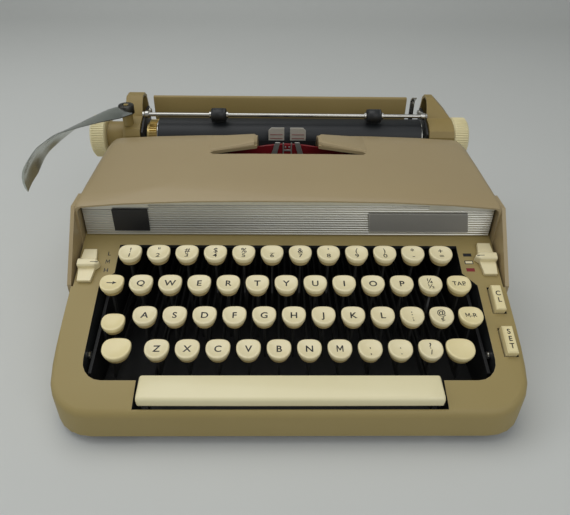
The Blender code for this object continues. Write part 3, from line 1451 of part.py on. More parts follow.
def return_lever():
    """Curved, twisted blade on a hub; it sweeps forward beside the cover."""
    base = POST_TOP + FIT
    centre = (POST_X, POST_Y)
    hub = rod("z", base, base + LEVER_HUB_HEIGHT - FIT, centre, LEVER_HUB_RADIUS, 20)
    height = base + LEVER_HUB_HEIGHT / 2
    sections = []
    for index in range(BLADE_STEPS + 1):
        share = index / BLADE_STEPS
        sweep = math.sin(min(share / 0.55, 1.0) * math.pi / 2)
        x = POST_X - BLADE_REACH * sweep
        y = POST_Y - BLADE_LENGTH * share ** 1.25
        lift = BLADE_RISE * math.sin(share * math.pi) * 0.4
        twist = math.radians(25) + math.radians(60) * min(share / 0.6, 1.0)
        width = BLADE_WIDTH * (0.6 + 0.4 * min(share / 0.25, 1.0)) + (BLADE_TIP_WIDTH - BLADE_WIDTH) * share
        heading = Vector((-math.cos(sweep * math.pi / 2), -1.2 * share - 0.1, 0)).normalized()
        beside = Vector((-heading.y, heading.x, 0))
        across = beside * math.cos(twist) + Vector((0, 0, 1)) * math.sin(twist)
        normal = heading.cross(across)
        middle = Vector((x, y, height + lift))
        sections.append([
            middle + across * (side * width / 2) + normal * (face * BLADE_THICKNESS / 2)
            for side, face in ((-1, -1), (1, -1), (1, 1), (-1, 1))
        ])
    pin_hole = rod("z", base - OVERRUN, base + LEVER_HUB_HEIGHT + OVERRUN, centre, POST_PIN + FIT, ROD_SIDES)
    return cut(union(hub, loft(sections)), pin_hole)


# Controls on the arms


def slider(x, y):
    """Cream slider: a pad with a wedge-shaped ridge and a stem through its slot."""
    along, upward = slope_axes()
    half = TOUCH_LENGTH / 2
    side = Vector((TOUCH_WIDTH / 2, 0, 0))
    middle = Vector((x, y, deck_height(y)))
    profile = (
        (-half, FIT),
        (half, FIT),
        (half, TOUCH_PAD),
        (half / 3, TOUCH_PAD),
        (half / 5, TOUCH_RIDGE),
        (-half / 5, TOUCH_RIDGE),
        (-half / 3, TOUCH_PAD),
        (-half, TOUCH_PAD),
    )
    rings = [
        [middle + side * sign + along * reach + upward * rise for reach, rise in profile]
        for sign in (-1, 1)
    ]
    stem = slope_block(x, y, TOUCH_STEM, TOUCH_STEM, -ARM_KEY_DEPTH, TOUCH_PAD / 2)
    return union(loft(rings), stem)


def arm_key(x, y):
    """Small oblong key that stands in its slot."""
    along, upward = slope_axes()
    middle = Vector((x, y, deck_height(y)))
    rings = []
    for rise, inset in (
        (-ARM_KEY_DEPTH, 0),
        (ARM_KEY_RISE - ARM_KEY_EDGE, 0),
        (ARM_KEY_RISE, ARM_KEY_EDGE),
    ):
        wide = ARM_KEY_WIDTH / 2 - inset
        long = ARM_KEY_LENGTH / 2 - inset
        corners = ((-wide, -long), (wide, -long), (wide, long), (-wide, long))
        rings.append([middle + Vector((dx, 0, 0)) + along * dy + upward * rise for dx, dy in corners])
    return loft(rings)


def build_fixed(root):
    """Pieces that stay still on the base."""
    add_piece(root, "base_frame", base_frame(), DARK_STEEL)
    add_piece(root, "lower_housing", lower_housing(), TAN)
    add_piece(root, "trim_strip", trim_strip(), BRUSHED_ALUMINIUM)
    add_piece(root, "carriage_rail", carriage_rail(), BRIGHT_STEEL)
    add_piece(root, "type_guard", type_guard(), RED_PAINT)
    add_piece(root, "card_guides", card_guides(), CLEAR_PLASTIC)
    add_piece(root, "ribbon", ribbon(), BLACK_INK)


def build_keyboard(root):
    """Every key, the space bar and the controls on the arms."""
    rod_place = (0, ROD_Y, LEVER_BOTTOM)
    add_letter_keys(root)
    add_piece(root, "figure_keys", figure_keys(), CREAM, rod_place)
    add_piece(root, "space_bar", space_bar(), PALE_CREAM, rod_place)
    add_piece(root, "shift_keys", shift_keys(), PALE_CREAM, (0, SHIFT_SHAFT_Y, LEVER_BOTTOM))
    add_piece(root, "shift_lock_key", shift_lock(), PALE_CREAM, rod_place)
    side_key_y = Q_ROW * ROW_DEPTH
    side_keys = (
        ("backspace_key", KEYBOARD_X - SIDE_KEY_X, side_key_y, key_top(Q_ROW)),
        ("tab_key", KEYBOARD_X + SIDE_KEY_X, side_key_y, key_top(Q_ROW)),
        ("margin_release_key", KEYBOARD_X + MARGIN_KEY_X, A_ROW * ROW_DEPTH, key_top(A_ROW)),
    )
    for name, x, y, top in side_keys:
        add_piece(root, name, key(x, y, top), CREAM, (x, ROD_Y, LEVER_BOTTOM))
    sliders = (("touch_lever", -TOUCH_X, TOUCH_Y), ("ribbon_selector", SELECTOR_X, SELECTOR_Y))
    for name, x, y in sliders:
        add_piece(root, name, slider(x, y), CREAM, (x, y, deck_height(y)))
    arm_keys = (("tab_clear_key", CLEAR_X, CLEAR_Y), ("tab_set_key", SET_X, SET_Y))
    for name, x, y in arm_keys:
        add_piece(root, name, arm_key(x, y), CREAM, (x, y, deck_height(y)))


def build_mechanism(root):
    """Cover, basket, vibrator and spools."""
    add_piece(root, "top_cover", top_cover(), TAN, (0, HINGE_Y, HINGE_Z))
    add_piece(root, "typebar_basket", typebar_basket(), BRIGHT_STEEL, (0, BASKET_Y, BASKET_Z))
    add_piece(root, "ribbon_vibrator", ribbon_vibrator(), BRIGHT_STEEL, (0, GUARD_Y, VIBRATOR_BOTTOM))
    right_spool = spool()
    add_piece(root, "ribbon_spool_left", mirrored(right_spool), BRIGHT_STEEL, (-SPOOL_X, SPOOL_Y, SPOOL_BOTTOM))
    add_piece(root, "ribbon_spool_right", right_spool, BRIGHT_STEEL, (SPOOL_X, SPOOL_Y, SPOOL_BOTTOM))


def build_carriage(root):
    """Carriage with everything that rides on it."""
    axle = (0, PLATEN_Y, PLATEN_Z)
    slide_place = (0, RAIL_FRONT_Y, RAIL_TOP)
    add_piece(root, "carriage_frame", carriage_frame(), DARK_STEEL, slide_place)
    add_piece(root, "paper_table", paper_table(), BRONZE_PAINT, slide_place)
    add_piece(root, "end_cover_left", end_cover_left(), BRONZE_PAINT, slide_place)
    add_piece(root, "end_cover_right", end_cover_right(), BRONZE_PAINT, slide_place)
    add_piece(root, "platen", platen(), BLACK_RUBBER, axle)
    add_piece(root, "line_space_wheel", line_space_wheel(), GOLD_METAL, axle)
    add_piece(root, "platen_knob_left", knob(left_knob_x(), 1), PALE_CREAM, axle)
    add_piece(root, "platen_knob_right", knob(right_knob_x(), -1), PALE_CREAM, axle)
    add_piece(root, "paper_bail", paper_bail(), BRIGHT_STEEL, (0, BAIL_PIVOT_Y, BAIL_PIVOT_Z))
    add_piece(root, "paper_release_lever", release_lever(), BRIGHT_STEEL, (RELEASE_X, RELEASE_Y, slide_top()))
    add_piece(root, "return_lever", return_lever(), BRIGHT_STEEL, (POST_X, POST_Y, POST_TOP))


def stand_on_origin(root):
    """Move the whole machine so that the middle of its footprint is the origin."""
    bpy.context.view_layer.update()
    corners = [
        piece.matrix_world @ Vector(corner) for piece in root.children for corner in piece.bound_box
    ]
    lows = [min(corner[axis] for corner in corners) for axis in range(3)]
    highs = [max(corner[axis] for corner in corners) for axis in range(3)]
    root.location = (-(lows[0] + highs[0]) / 2, -(lows[1] + highs[1]) / 2, -lows[2])
    bpy.context.view_layer.update()


def main():
    """Build the typewriter in an empty scene."""
    for piece in list(bpy.data.objects):
        bpy.data.objects.remove(piece, do_unlink=True)
    root = bpy.data.objects.new("typewriter", None)
    bpy.context.scene.collection.objects.link(root)
    build_fixed(root)
    build_keyboard(root)
    build_mechanism(root)
    build_carriage(root)
    stand_on_origin(root)


main()
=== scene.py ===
import json
import logging
import math
from collections.abc import Sequence
from dataclasses import dataclass
from enum import Enum

import bmesh
import bpy
from mathutils import Matrix, Vector

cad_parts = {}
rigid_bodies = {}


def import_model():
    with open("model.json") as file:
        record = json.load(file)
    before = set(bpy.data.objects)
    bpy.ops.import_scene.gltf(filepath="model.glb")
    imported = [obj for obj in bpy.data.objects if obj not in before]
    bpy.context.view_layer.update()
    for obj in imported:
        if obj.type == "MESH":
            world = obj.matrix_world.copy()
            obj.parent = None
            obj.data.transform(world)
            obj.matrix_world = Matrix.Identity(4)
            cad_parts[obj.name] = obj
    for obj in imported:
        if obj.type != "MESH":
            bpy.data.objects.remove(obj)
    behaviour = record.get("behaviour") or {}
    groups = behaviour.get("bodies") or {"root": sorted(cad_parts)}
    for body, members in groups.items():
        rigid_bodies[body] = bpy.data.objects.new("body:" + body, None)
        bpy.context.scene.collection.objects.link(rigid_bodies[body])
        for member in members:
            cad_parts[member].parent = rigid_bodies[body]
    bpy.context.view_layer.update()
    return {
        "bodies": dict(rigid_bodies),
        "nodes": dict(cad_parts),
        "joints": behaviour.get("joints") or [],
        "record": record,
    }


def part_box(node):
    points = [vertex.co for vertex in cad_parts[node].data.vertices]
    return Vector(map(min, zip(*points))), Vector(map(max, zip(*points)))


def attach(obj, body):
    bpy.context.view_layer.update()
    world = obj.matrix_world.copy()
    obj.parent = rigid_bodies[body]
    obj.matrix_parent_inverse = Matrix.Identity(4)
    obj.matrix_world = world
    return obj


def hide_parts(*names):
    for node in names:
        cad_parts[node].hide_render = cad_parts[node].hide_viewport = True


LOG = logging.getLogger("typewriter")
MM = 0.001
# Place along y of the rail's front face, and the legend that stands for a drawn arrow
RAIL_FRONT = 214
ARROW = "arrow"


def linear(code: str) -> tuple[float, float, float, float]:
    """Return the scene-linear colour of an sRGB hex code.

    Args:
        code: Six-digit hex code with its hash sign.

    Returns:
        Red, green, blue and alpha.
    """
    channels = [int(code[place : place + 2], 16) / 255 for place in (1, 3, 5)]
    red, green, blue = (
        value / 12.92 if value <= 0.04045 else ((value + 0.055) / 1.055) ** 2.4
        for value in channels
    )
    return red, green, blue, 1.0


def add_node(tree: bpy.types.NodeTree, kind: str, settings: dict, inputs: dict) -> bpy.types.Node:
    """Add a node to a tree.

    Args:
        tree: The tree that takes the node.
        kind: Blender's name of the node type.
        settings: Property values by name.
        inputs: A value or an output socket to link, by socket name or number.

    Returns:
        The new node.
    """
    node = tree.nodes.new(kind)
    for name, value in settings.items():
        setattr(node, name, value)
    for socket, value in inputs.items():
        if isinstance(value, bpy.types.NodeSocket):
            tree.links.new(value, node.inputs[socket])
        else:
            node.inputs[socket].default_value = value
    return node


@dataclass(frozen=True)
class Surface:
    """Fine pattern of a finish.

    Attributes:
        grain: Size of a grain in mm.
        stretch: Stretch of the grain along x, y and z.
        relief: Height of the grain in mm.
    """

    grain: float
    stretch: tuple[float, float, float]
    relief: float


class Texture(Enum):
    """How a finish breaks up the light."""

    PEEL = Surface(0.8, (1, 1, 1), 0.010)
    MOULDED = Surface(0.5, (1, 1, 1), 0.004)
    BRUSHED = Surface(0.12, (60, 1, 1), 0.004)
    POLISHED = Surface(6.0, (1, 1, 1), 0.004)
    GROUND = Surface(0.4, (1, 4, 1), 0.008)
    RUBBER = Surface(0.3, (1, 1, 1), 0.010)
    WOVEN = Surface(0.35, (1, 1, 1), 0.030)


@dataclass(frozen=True)
class Finish:
    """One real material, with its shades, gloss and fine pattern.

    Attributes:
        name: Plain name of the real material.
        shade: Main sRGB colour.
        second: Colour of its patches, such as dust, fading or handling.
        texture: Fine pattern.
        rough: Lowest and highest roughness.
        metallic: 1 for bare metal.
        coat: Strength of a clear top coat.
        patch: Size of the patches in mm.
        edge_wear_and_highlight: Share by which sharp edges turn to the lighter edge colour, partly
            as rubbed paint and partly as a painted highlight.
        worn_and_highlight_shade: Colour of a lightened edge, rubbed and painted as if it caught the
            light.
        clear: Share of the light that passes through.
        edge: Radius in mm of the rounding that finds the lightened edges.
    """

    name: str
    shade: str
    second: str
    texture: Texture
    rough: tuple[float, float]
    metallic: float = 0.0
    coat: float = 0.0
    patch: float = 45.0
    # Lightened sharp edges: partly wear, partly a painted highlight
    edge_wear_and_highlight: float = 0.0
    worn_and_highlight_shade: str = "#c9bfa4"
    clear: float = 0.0
    edge: float = 0.9

    def material(self) -> bpy.types.Material:
        """Return the node material of this finish, built on first use.

        Returns:
            The material.
        """
        name = self.name + "_finish"
        found = bpy.data.materials.get(name)
        if found:
            return found
        material = bpy.data.materials.new(name)
        material.use_nodes = True
        tree = material.node_tree
        tree.nodes.clear()
        place = add_node(tree, "ShaderNodeTexCoord", {}, {})
        patches = add_node(
            tree,
            "ShaderNodeTexNoise",
            {},
            {"Vector": place.outputs["Object"], "Scale": 1 / (self.patch * MM), "Detail": 4.0},
        )
        shade = add_node(
            tree,
            "ShaderNodeMix",
            {"data_type": "RGBA"},
            {0: patches.outputs["Fac"], 6: linear(self.shade), 7: linear(self.second)},
        )
        colour = shade.outputs[2]
        grain = self.grain(tree, place.outputs["Object"])
        # Sharp edges lightened: partly wear, partly a painted highlight that stands in for light
        # catching them
        if self.edge_wear_and_highlight:
            colour = self.wear_and_highlight_edges(tree, colour)
        rough = add_node(
            tree,
            "ShaderNodeMapRange",
            {},
            {"Value": grain, "To Min": self.rough[0], "To Max": self.rough[1]},
        )
        bump = add_node(
            tree,
            "ShaderNodeBump",
            {},
            {"Height": grain, "Distance": self.texture.value.relief * MM, "Strength": 1.0},
        )
        shader = add_node(
            tree,
            "ShaderNodeBsdfPrincipled",
            {},
            {
                "Base Color": colour,
                "Roughness": rough.outputs["Result"],
                "Metallic": self.metallic,
                "Coat Weight": self.coat,
                "Transmission Weight": self.clear,
                "Normal": bump.outputs["Normal"],
            },
        )
        add_node(tree, "ShaderNodeOutputMaterial", {}, {"Surface": shader.outputs["BSDF"]})
        return material

    def grain(self, tree: bpy.types.NodeTree, place: bpy.types.NodeSocket) -> bpy.types.NodeSocket:
        """Add the fine pattern and return its height.

        Args:
            tree: The material's node tree.
            place: Place on the piece that the pattern is laid on.

        Returns:
            The pattern's height.
        """
        surface = self.texture.value
        scale = [1 / (surface.grain * MM * stretch) for stretch in surface.stretch]
        scaled = add_node(
            tree, "ShaderNodeVectorMath", {"operation": "MULTIPLY"}, {0: place, 1: scale}
        )
        if self.texture is Texture.WOVEN:
            threads = [
                add_node(
                    tree,
                    "ShaderNodeTexWave",
                    {"bands_direction": axis},
                    {"Vector": scaled.outputs["Vector"], "Scale": 0.3},
                )
                for axis in ("X", "Z")
            ]
            return add_node(
                tree,
                "ShaderNodeMath",
                {"operation": "MAXIMUM"},
                {0: threads[0].outputs["Fac"], 1: threads[1].outputs["Fac"]},
            ).outputs["Value"]
        return add_node(
            tree,
            "ShaderNodeTexNoise",
            {},
            {"Vector": scaled.outputs["Vector"], "Scale": 1.0, "Detail": 2.0},
        ).outputs["Fac"]

    def wear_and_highlight_edges(
        self, tree: bpy.types.NodeTree, colour: bpy.types.NodeSocket
    ) -> bpy.types.NodeSocket:
        """Lighten sharp edges, partly as rubbing and partly as a painted highlight, and return the
        colour.

        Args:
            tree: The material's node tree.
            colour: Colour of the surface away from its sharp edges.

        Returns:
            The blended colour.
        """
        rounded = add_node(tree, "ShaderNodeBevel", {"samples": 4}, {"Radius": self.edge * MM})
        flat = add_node(tree, "ShaderNodeNewGeometry", {}, {})
        turn = add_node(
            tree,
            "ShaderNodeVectorMath",
            {"operation": "DOT_PRODUCT"},
            {0: rounded.outputs["Normal"], 1: flat.outputs["Normal"]},
        )
        edge = add_node(
            tree,
            "ShaderNodeMapRange",
            {},
            {
                "Value": turn.outputs["Value"],
                "From Min": 0.99,
                "From Max": 0.85,
                "To Max": self.edge_wear_and_highlight,
            },
        )
        blend = add_node(
            tree, "ShaderNodeMix", {"data_type": "RGBA"}, {0: edge.outputs["Result"], 6: colour}
        )
        # The lighter edge colour, partly wear and partly a painted highlight
        blend.inputs[7].default_value = linear(self.worn_and_highlight_shade)
        return blend.outputs[2]


class Finishes:
    """The machine's finishes."""

    # Satin tan enamel over steel: a slight orange peel and faint fading across the broad panels;
    # its sharp edges lightened, partly wear and partly a painted highlight
    COVER = Finish(
        "tan_enamel", "#a3906b", "#aa9871", Texture.PEEL, (0.38, 0.5), coat=0.1, patch=80, edge_wear_and_highlight=0.2,
        worn_and_highlight_shade="#beb191"
    )
    # The same tan moulded in plastic for the housing: a finer skin and a duller face; its sharp
    # edges a little lighter, partly wear and partly a painted highlight
    HOUSING = Finish(
        "tan_moulding", "#9c8a55", "#a3915c", Texture.MOULDED, (0.46, 0.58), patch=70, edge_wear_and_highlight=0.15
    )
    # Unpainted inside of the housing and the well: near black with a soft sheen
    WELL = Finish("black_well", "#1c1f21", "#26292a", Texture.MOULDED, (0.5, 0.65), patch=25)
    # Aged cream key plastic: a warm tint in patches and a soft gloss from handling
    CAP = Finish(
        "cream_plastic", "#f3e9c2", "#ebddae", Texture.MOULDED, (0.26, 0.36), coat=0.15, patch=12
    )
    # Lower ring of the keys, a darker and duller cream than the top
    SKIRT = Finish("cream_skirt", "#cdb983", "#c0aa72", Texture.MOULDED, (0.4, 0.5), patch=10)
    # Cream space bar with the same ageing
    BAR = Finish(
        "cream_bar", "#f4ebc2", "#ece1b4", Texture.MOULDED, (0.26, 0.38), coat=0.15, patch=40
    )
    # Yellowed moulding of the shift and side keys
    SIDE_CAP = Finish(
        "yellowed_plastic", "#f4e7b6", "#ebdba3", Texture.MOULDED, (0.28, 0.4), coat=0.12, patch=14
    )
    # Lower ring of the side keys, browner than their tops
    SIDE_SKIRT = Finish(
        "yellowed_skirt", "#cdb87c", "#bfa86b", Texture.MOULDED, (0.4, 0.5), patch=10
    )
    # Knob plastic, dusty in its flutes
    KNOB = Finish(
        "knob_plastic", "#efe5b8", "#ddd1a0", Texture.MOULDED, (0.3, 0.42), coat=0.1, patch=15
    )
    # Ink of the letters
    INK = Finish("black_ink", "#101114", "#18191c", Texture.MOULDED, (0.4, 0.55), patch=3)
    # Black paint of the short plate on the strip
    BLACK = Finish("black_paint", "#17181a", "#222325", Texture.PEEL, (0.35, 0.5), patch=20)
    # Ribbed aluminium, brushed along its length, dulled in streaks
    TRIM = Finish(
        "brushed_aluminium", "#e2e1d9", "#cbcac1", Texture.BRUSHED, (0.32, 0.5), metallic=1.0,
        patch=60
    )
    # Satin grey paint of the long bare plate, its edges lightened near to white as a painted
    # highlight
    PLATE = Finish(
        "satin_plate", "#92908a", "#898780", Texture.BRUSHED, (0.35, 0.5), patch=30, edge_wear_and_highlight=0.9,
        worn_and_highlight_shade="#dcdbd4"
    )
    # Bright plated steel of rods and arms with faint finger marks
    CHROME = Finish(
        "bright_steel", "#c9c8c3", "#b4b3ac", Texture.POLISHED, (0.12, 0.26), metallic=1.0, patch=20
    )
    # Plated return lever, hazed by years of handling
    LEVER_CHROME = Finish(
        "handled_chrome", "#c4c8c2", "#b1b4ac", Texture.POLISHED, (0.16, 0.32), metallic=1.0,
        patch=26
    )
    # Satin nickel of the ribbon arms, which spreads the light
    NICKEL = Finish(
        "satin_nickel", "#cfcec8", "#bab9b2", Texture.GROUND, (0.42, 0.58), metallic=0.85, patch=10
    )
    # Dark oiled steel of the basket and the rail
    STEEL = Finish(
        "dark_steel", "#5b5a55", "#3b3a37", Texture.GROUND, (0.32, 0.52), metallic=1.0, patch=18
    )
    # Blackened steel of the key levers, rubbed a little bright on top
    LEVER = Finish("blackened_steel", "#1e1f1f", "#2b2b29", Texture.GROUND, (0.4, 0.6), patch=9)
    # Black paint of the pan, dulled by dust
    PAN = Finish("black_pan", "#151617", "#1e1e1d", Texture.PEEL, (0.55, 0.7), patch=40)
    # Black platen rubber, matt with a faint grey bloom
    RUBBER = Finish("black_rubber", "#171a1d", "#202427", Texture.RUBBER, (0.42, 0.56), patch=30)
    # Rubber of the small rollers, worn smoother
    ROLLER = Finish("roller_rubber", "#161819", "#222426", Texture.RUBBER, (0.4, 0.55), patch=8)
    # Red paint of the type guard
    RED = Finish("red_paint", "#8e1a22", "#7d151d", Texture.PEEL, (0.35, 0.5), coat=0.2, patch=20)
    # Inked cloth of the ribbon
    RIBBON = Finish("inked_fabric", "#141416", "#1e1e20", Texture.WOVEN, (0.7, 0.85), patch=20)
    # Brass-coloured plating on the toothed wheel
    GOLD = Finish(
        "gold_metal", "#cdb77c", "#b39c60", Texture.GROUND, (0.25, 0.4), metallic=1.0, patch=9
    )
    # Clear plastic of the card guides
    CLEAR = Finish(
        "clear_plastic", "#e3dfd2", "#d8d3c3", Texture.POLISHED, (0.08, 0.16), clear=0.35
    )
    # Bronze paint of the carriage ends and the paper table, its sharp edges lightened, partly wear
    # and partly a painted highlight
    BRONZE = Finish(
        "bronze_paint", "#9a854f", "#8f7b46", Texture.PEEL, (0.42, 0.54), patch=30, edge_wear_and_highlight=0.2,
        worn_and_highlight_shade="#b1a272"
    )


@dataclass(frozen=True)
class Studio:
    """Plain floor, soft lamps and the camera at the photograph's place, in machine mm.

    Attributes:
        image: Width and height of the picture in pixels.
        focal: Focal length in pixels.
        sensor: Width of the camera's sensor in mm.
        eye: Place of the camera.
        tilt: Degrees by which the camera looks down.
        turn: Degrees by which it looks to the side.
        roll: Degrees by which it leans to the side.
        floor_half: Half the floor's width, and its reach to the front.
        floor_rear: Place along y of the backdrop.
        floor_rise: Height of the backdrop.
        floor_bend: Radius of the bend between floor and backdrop.
        bend_steps: Steps in that bend.
        lamp_set: Name, place, size and power in watts of each lamp.
        lit: Place that the lamps point at.
        room_shade: Colour of the room's even light.
        room_light: Strength of the room's even light.
    """

    image: tuple[int, int] = (570, 515)
    focal: float = 555.0
    sensor: float = 36.0
    eye: tuple[float, float, float] = (-8.98, -249.18, 290.74)
    tilt: float = 35.311
    turn: float = -1.105
    roll: float = 0.836
    floor_half: float = 7000.0
    floor_rear: float = 1500.0
    floor_rise: float = 4000.0
    floor_bend: float = 420.0
    bend_steps: int = 12
    lamp_set: tuple = (
        ("lamp_over", (-250, 250, 1150), 1100, 5.6),
        ("lamp_front", (520, -820, 880), 900, 3.3),
        ("lamp_left", (-950, -50, 620), 700, 1.6),
    )
    lit: tuple[float, float, float] = (0, 100, 50)
    room_shade: str = "#e4e7ea"
    room_light: float = 0.36

    def camera(self, origin: Vector) -> None:
        """Put the camera where the photograph was taken from.

        Args:
            origin: Place of the machine's zero in the scene.
        """
        data = bpy.data.cameras.new("photo_camera")
        data.sensor_fit = "HORIZONTAL"
        data.sensor_width = self.sensor
        data.lens = self.focal / self.image[0] * self.sensor
        data.clip_start = 0.01
        camera = bpy.data.objects.new("photo_camera", data)
        bpy.context.scene.collection.objects.link(camera)
        aim = (
            Matrix.Rotation(math.radians(self.turn), 4, "Z")
            @ Matrix.Rotation(math.radians(90 - self.tilt), 4, "X")
            @ Matrix.Rotation(math.radians(self.roll), 4, "Z")
        )
        camera.matrix_world = Matrix.Translation(origin + Vector(self.eye) * MM) @ aim
        bpy.context.scene.camera = camera

    def floor(self, origin: Vector) -> None:
        """Lay the floor, which bends up into a backdrop.

        Args:
            origin: Place of the machine's zero in the scene.
        """
        profile = [(-self.floor_half, 0.0), (self.floor_rear - self.floor_bend, 0.0)]
        for step in range(1, self.bend_steps + 1):
            turn = math.pi / 2 * step / self.bend_steps
            profile.append(
                (
                    self.floor_rear - self.floor_bend * (1 - math.sin(turn)),
                    self.floor_bend * (1 - math.cos(turn)),
                )
            )
        profile.append((self.floor_rear, self.floor_rise))
        shape = bmesh.new()
        rows = [
            [
                shape.verts.new(Vector((side * self.floor_half, y, z)) * MM + origin)
                for y, z in profile
            ]
            for side in (-1, 1)
        ]
        for index in range(len(profile) - 1):
            shape.faces.new(
                (rows[0][index], rows[1][index], rows[1][index + 1], rows[0][index + 1])
            ).smooth = True
        mesh = bpy.data.meshes.new("floor")
        shape.to_mesh(mesh)
        shape.free()
        floor = bpy.data.objects.new("floor", mesh)
        # Pale grey studio paper with a barely visible tooth
        paper = Finish("pale_paper", "#d3d5d1", "#cdcfcb", Texture.PEEL, (0.8, 0.95), patch=400)
        mesh.materials.append(paper.material())
        bpy.context.scene.collection.objects.link(floor)

    def lamps(self, origin: Vector) -> None:
        """Hang three soft lamps and set the even light of the room.

        Args:
            origin: Place of the machine's zero in the scene.
        """
        for name, place, size, power in self.lamp_set:
            data = bpy.data.lights.new(name, "AREA")
            data.shape = "SQUARE"
            data.size = size * MM
            data.energy = power
            lamp = bpy.data.objects.new(name, data)
            bpy.context.scene.collection.objects.link(lamp)
            spot = origin + Vector(place) * MM
            aim = (origin + Vector(self.lit) * MM - spot).to_track_quat("-Z", "Y")
            lamp.matrix_world = Matrix.Translation(spot) @ aim.to_matrix().to_4x4()
        world = bpy.data.worlds.new("room")
        world.use_nodes = True
        light = world.node_tree.nodes["Background"].inputs
        light["Color"].default_value = linear(self.room_shade)
        light["Strength"].default_value = self.room_light
        bpy.context.scene.world = world
        bpy.context.scene.view_settings.view_transform = "Standard"


class Shape:
    """Mesh in machine mm, made face by face, with a finish number on each face."""

    def __init__(self) -> None:
        """Start an empty mesh."""
        self.mesh = bmesh.new()

    def loft(self, rings: Sequence[Sequence[Vector]], finish: int = 0, capped: bool = True) -> list:
        """Skin a row of rings, each with the same number of points.

        Args:
            rings: The rings, in order along the form.
            finish: Finish number of the new faces.
            capped: Whether the first and last rings are filled.

        Returns:
            The rings' vertices.
        """
        rows = [[self.mesh.verts.new(point) for point in ring] for ring in rings]
        count = len(rows[0])
        faces = []
        for low, high in zip(rows, rows[1:]):
            for index in range(count):
                after = (index + 1) % count
                faces.append(
                    self.mesh.faces.new((low[index], low[after], high[after], high[index]))
                )
        if capped:
            faces.append(self.mesh.faces.new(rows[0][::-1]))
            faces.append(self.mesh.faces.new(rows[-1]))
        for face in faces:
            face.material_index = finish
        return rows

    def prism(
        self, outline: Sequence[tuple], axis: str, low: float, high: float, finish: int = 0
    ) -> None:
        """Push an outline along an axis from one place to another."""
        self.loft([[placed(axis, at, *point) for point in outline] for at in (low, high)], finish)

    def box(self, low: Sequence[float], high: Sequence[float], finish: int = 0) -> None:
        """Add a block between two corners."""
        outline = [(low[0], low[1]), (high[0], low[1]), (high[0], high[1]), (low[0], high[1])]
        self.prism(outline, "z", low[2], high[2], finish)

    def turned(
        self, profile: Sequence[tuple], axis: str, centre: tuple, sides: int, finish: int = 0
    ) -> None:
        """Turn a profile of (place along the axis, radius) about the axis.

        Args:
            profile: Points of the profile.
            axis: Name of the axis.
            centre: The axis's place, by its two other coordinates in order.
            sides: Number of steps round the axis.
            finish: Finish number of the new faces.
        """
        rings = []
        for along, radius in profile:
            rings.append(
                [
                    placed(
                        axis,
                        along,
                        centre[0] + radius * math.cos(math.tau * step / sides),
                        centre[1] + radius * math.sin(math.tau * step / sides),
                    )
                    for step in range(sides)
                ]
            )
        self.loft(rings, finish)

    def add(self, other: bmesh.types.BMesh, finish: int | None = None) -> None:
        """Take in another mesh and free it.

        Args:
            other: Mesh to take in.
            finish: Finish number for all its faces, or None to keep their own.
        """
        spare = bpy.data.meshes.new("spare")
        other.to_mesh(spare)
        other.free()
        before = len(self.mesh.faces)
        self.mesh.from_mesh(spare)
        bpy.data.meshes.remove(spare)
        if finish is not None:
            self.mesh.faces.ensure_lookup_table()
            for face in self.mesh.faces[before:]:
                face.material_index = finish


def placed(axis: str, along: float, first: float, second: float) -> Vector:
    """Return the point at a place along an axis with its two other coordinates in order.

    Args:
        axis: Name of the axis.
        along: Place along it.
        first: First of the other coordinates.
        second: Second of the other coordinates.

    Returns:
        The point.
    """
    if axis == "x":
        return Vector((along, first, second))
    if axis == "y":
        return Vector((first, along, second))
    return Vector((first, second, along))


def arc(centre: tuple, radius: float, start: float, end: float, steps: int) -> list[tuple]:
    """Return points on an arc, its angles in degrees.

    Args:
        centre: Middle of the arc.
        radius: Its radius.
        start: Angle of the first point.
        end: Angle of the last point.
        steps: Number of steps between them.

    Returns:
        The points, in order.
    """
    points = []
    for step in range(steps + 1):
        turn = math.radians(start + (end - start) * step / steps)
        points.append((centre[0] + radius * math.cos(turn), centre[1] + radius * math.sin(turn)))
    return points


def smooth_line(points: Sequence[Vector], steps: int) -> list[Vector]:
    """Return a smooth curve through points, with a number of steps in each stretch.

    Args:
        points: Points that the curve passes through.
        steps: Steps in each stretch.

    Returns:
        The points of the curve.
    """
    line = []
    ends = [points[0] * 2 - points[1], *points, points[-1] * 2 - points[-2]]
    for index in range(1, len(ends) - 2):
        before, first, second, after = ends[index - 1 : index + 3]
        for step in range(steps):
            share = step / steps
            line.append(
                first
                + (second - before) * share / 2
                + (before * 2 - first * 5 + second * 4 - after) * share**2 / 2
                + (first * 3 - before - second * 3 + after) * share**3 / 2
            )
    line.append(points[-1].copy())
    return line


def letter_m(height: float) -> bmesh.types.BMesh:
    """Return a flat bold M of a height in mm, centred on zero.

    Args:
        height: Height of the letter.

    Returns:
        The letter's mesh.
    """
    shape = Shape()
    outline = [
        (-0.42, 0), (-0.29, 0), (-0.29, 0.7), (0, 0.16), (0.29, 0.7), (0.29, 0),
        (0.42, 0), (0.42, 1), (0.27, 1), (0, 0.48), (-0.27, 1), (-0.42, 1),
    ]
    shape.mesh.faces.new(
        [shape.mesh.verts.new((x * height, (y - 0.5) * height, 0)) for x, y in outline]
    )
    return shape.mesh


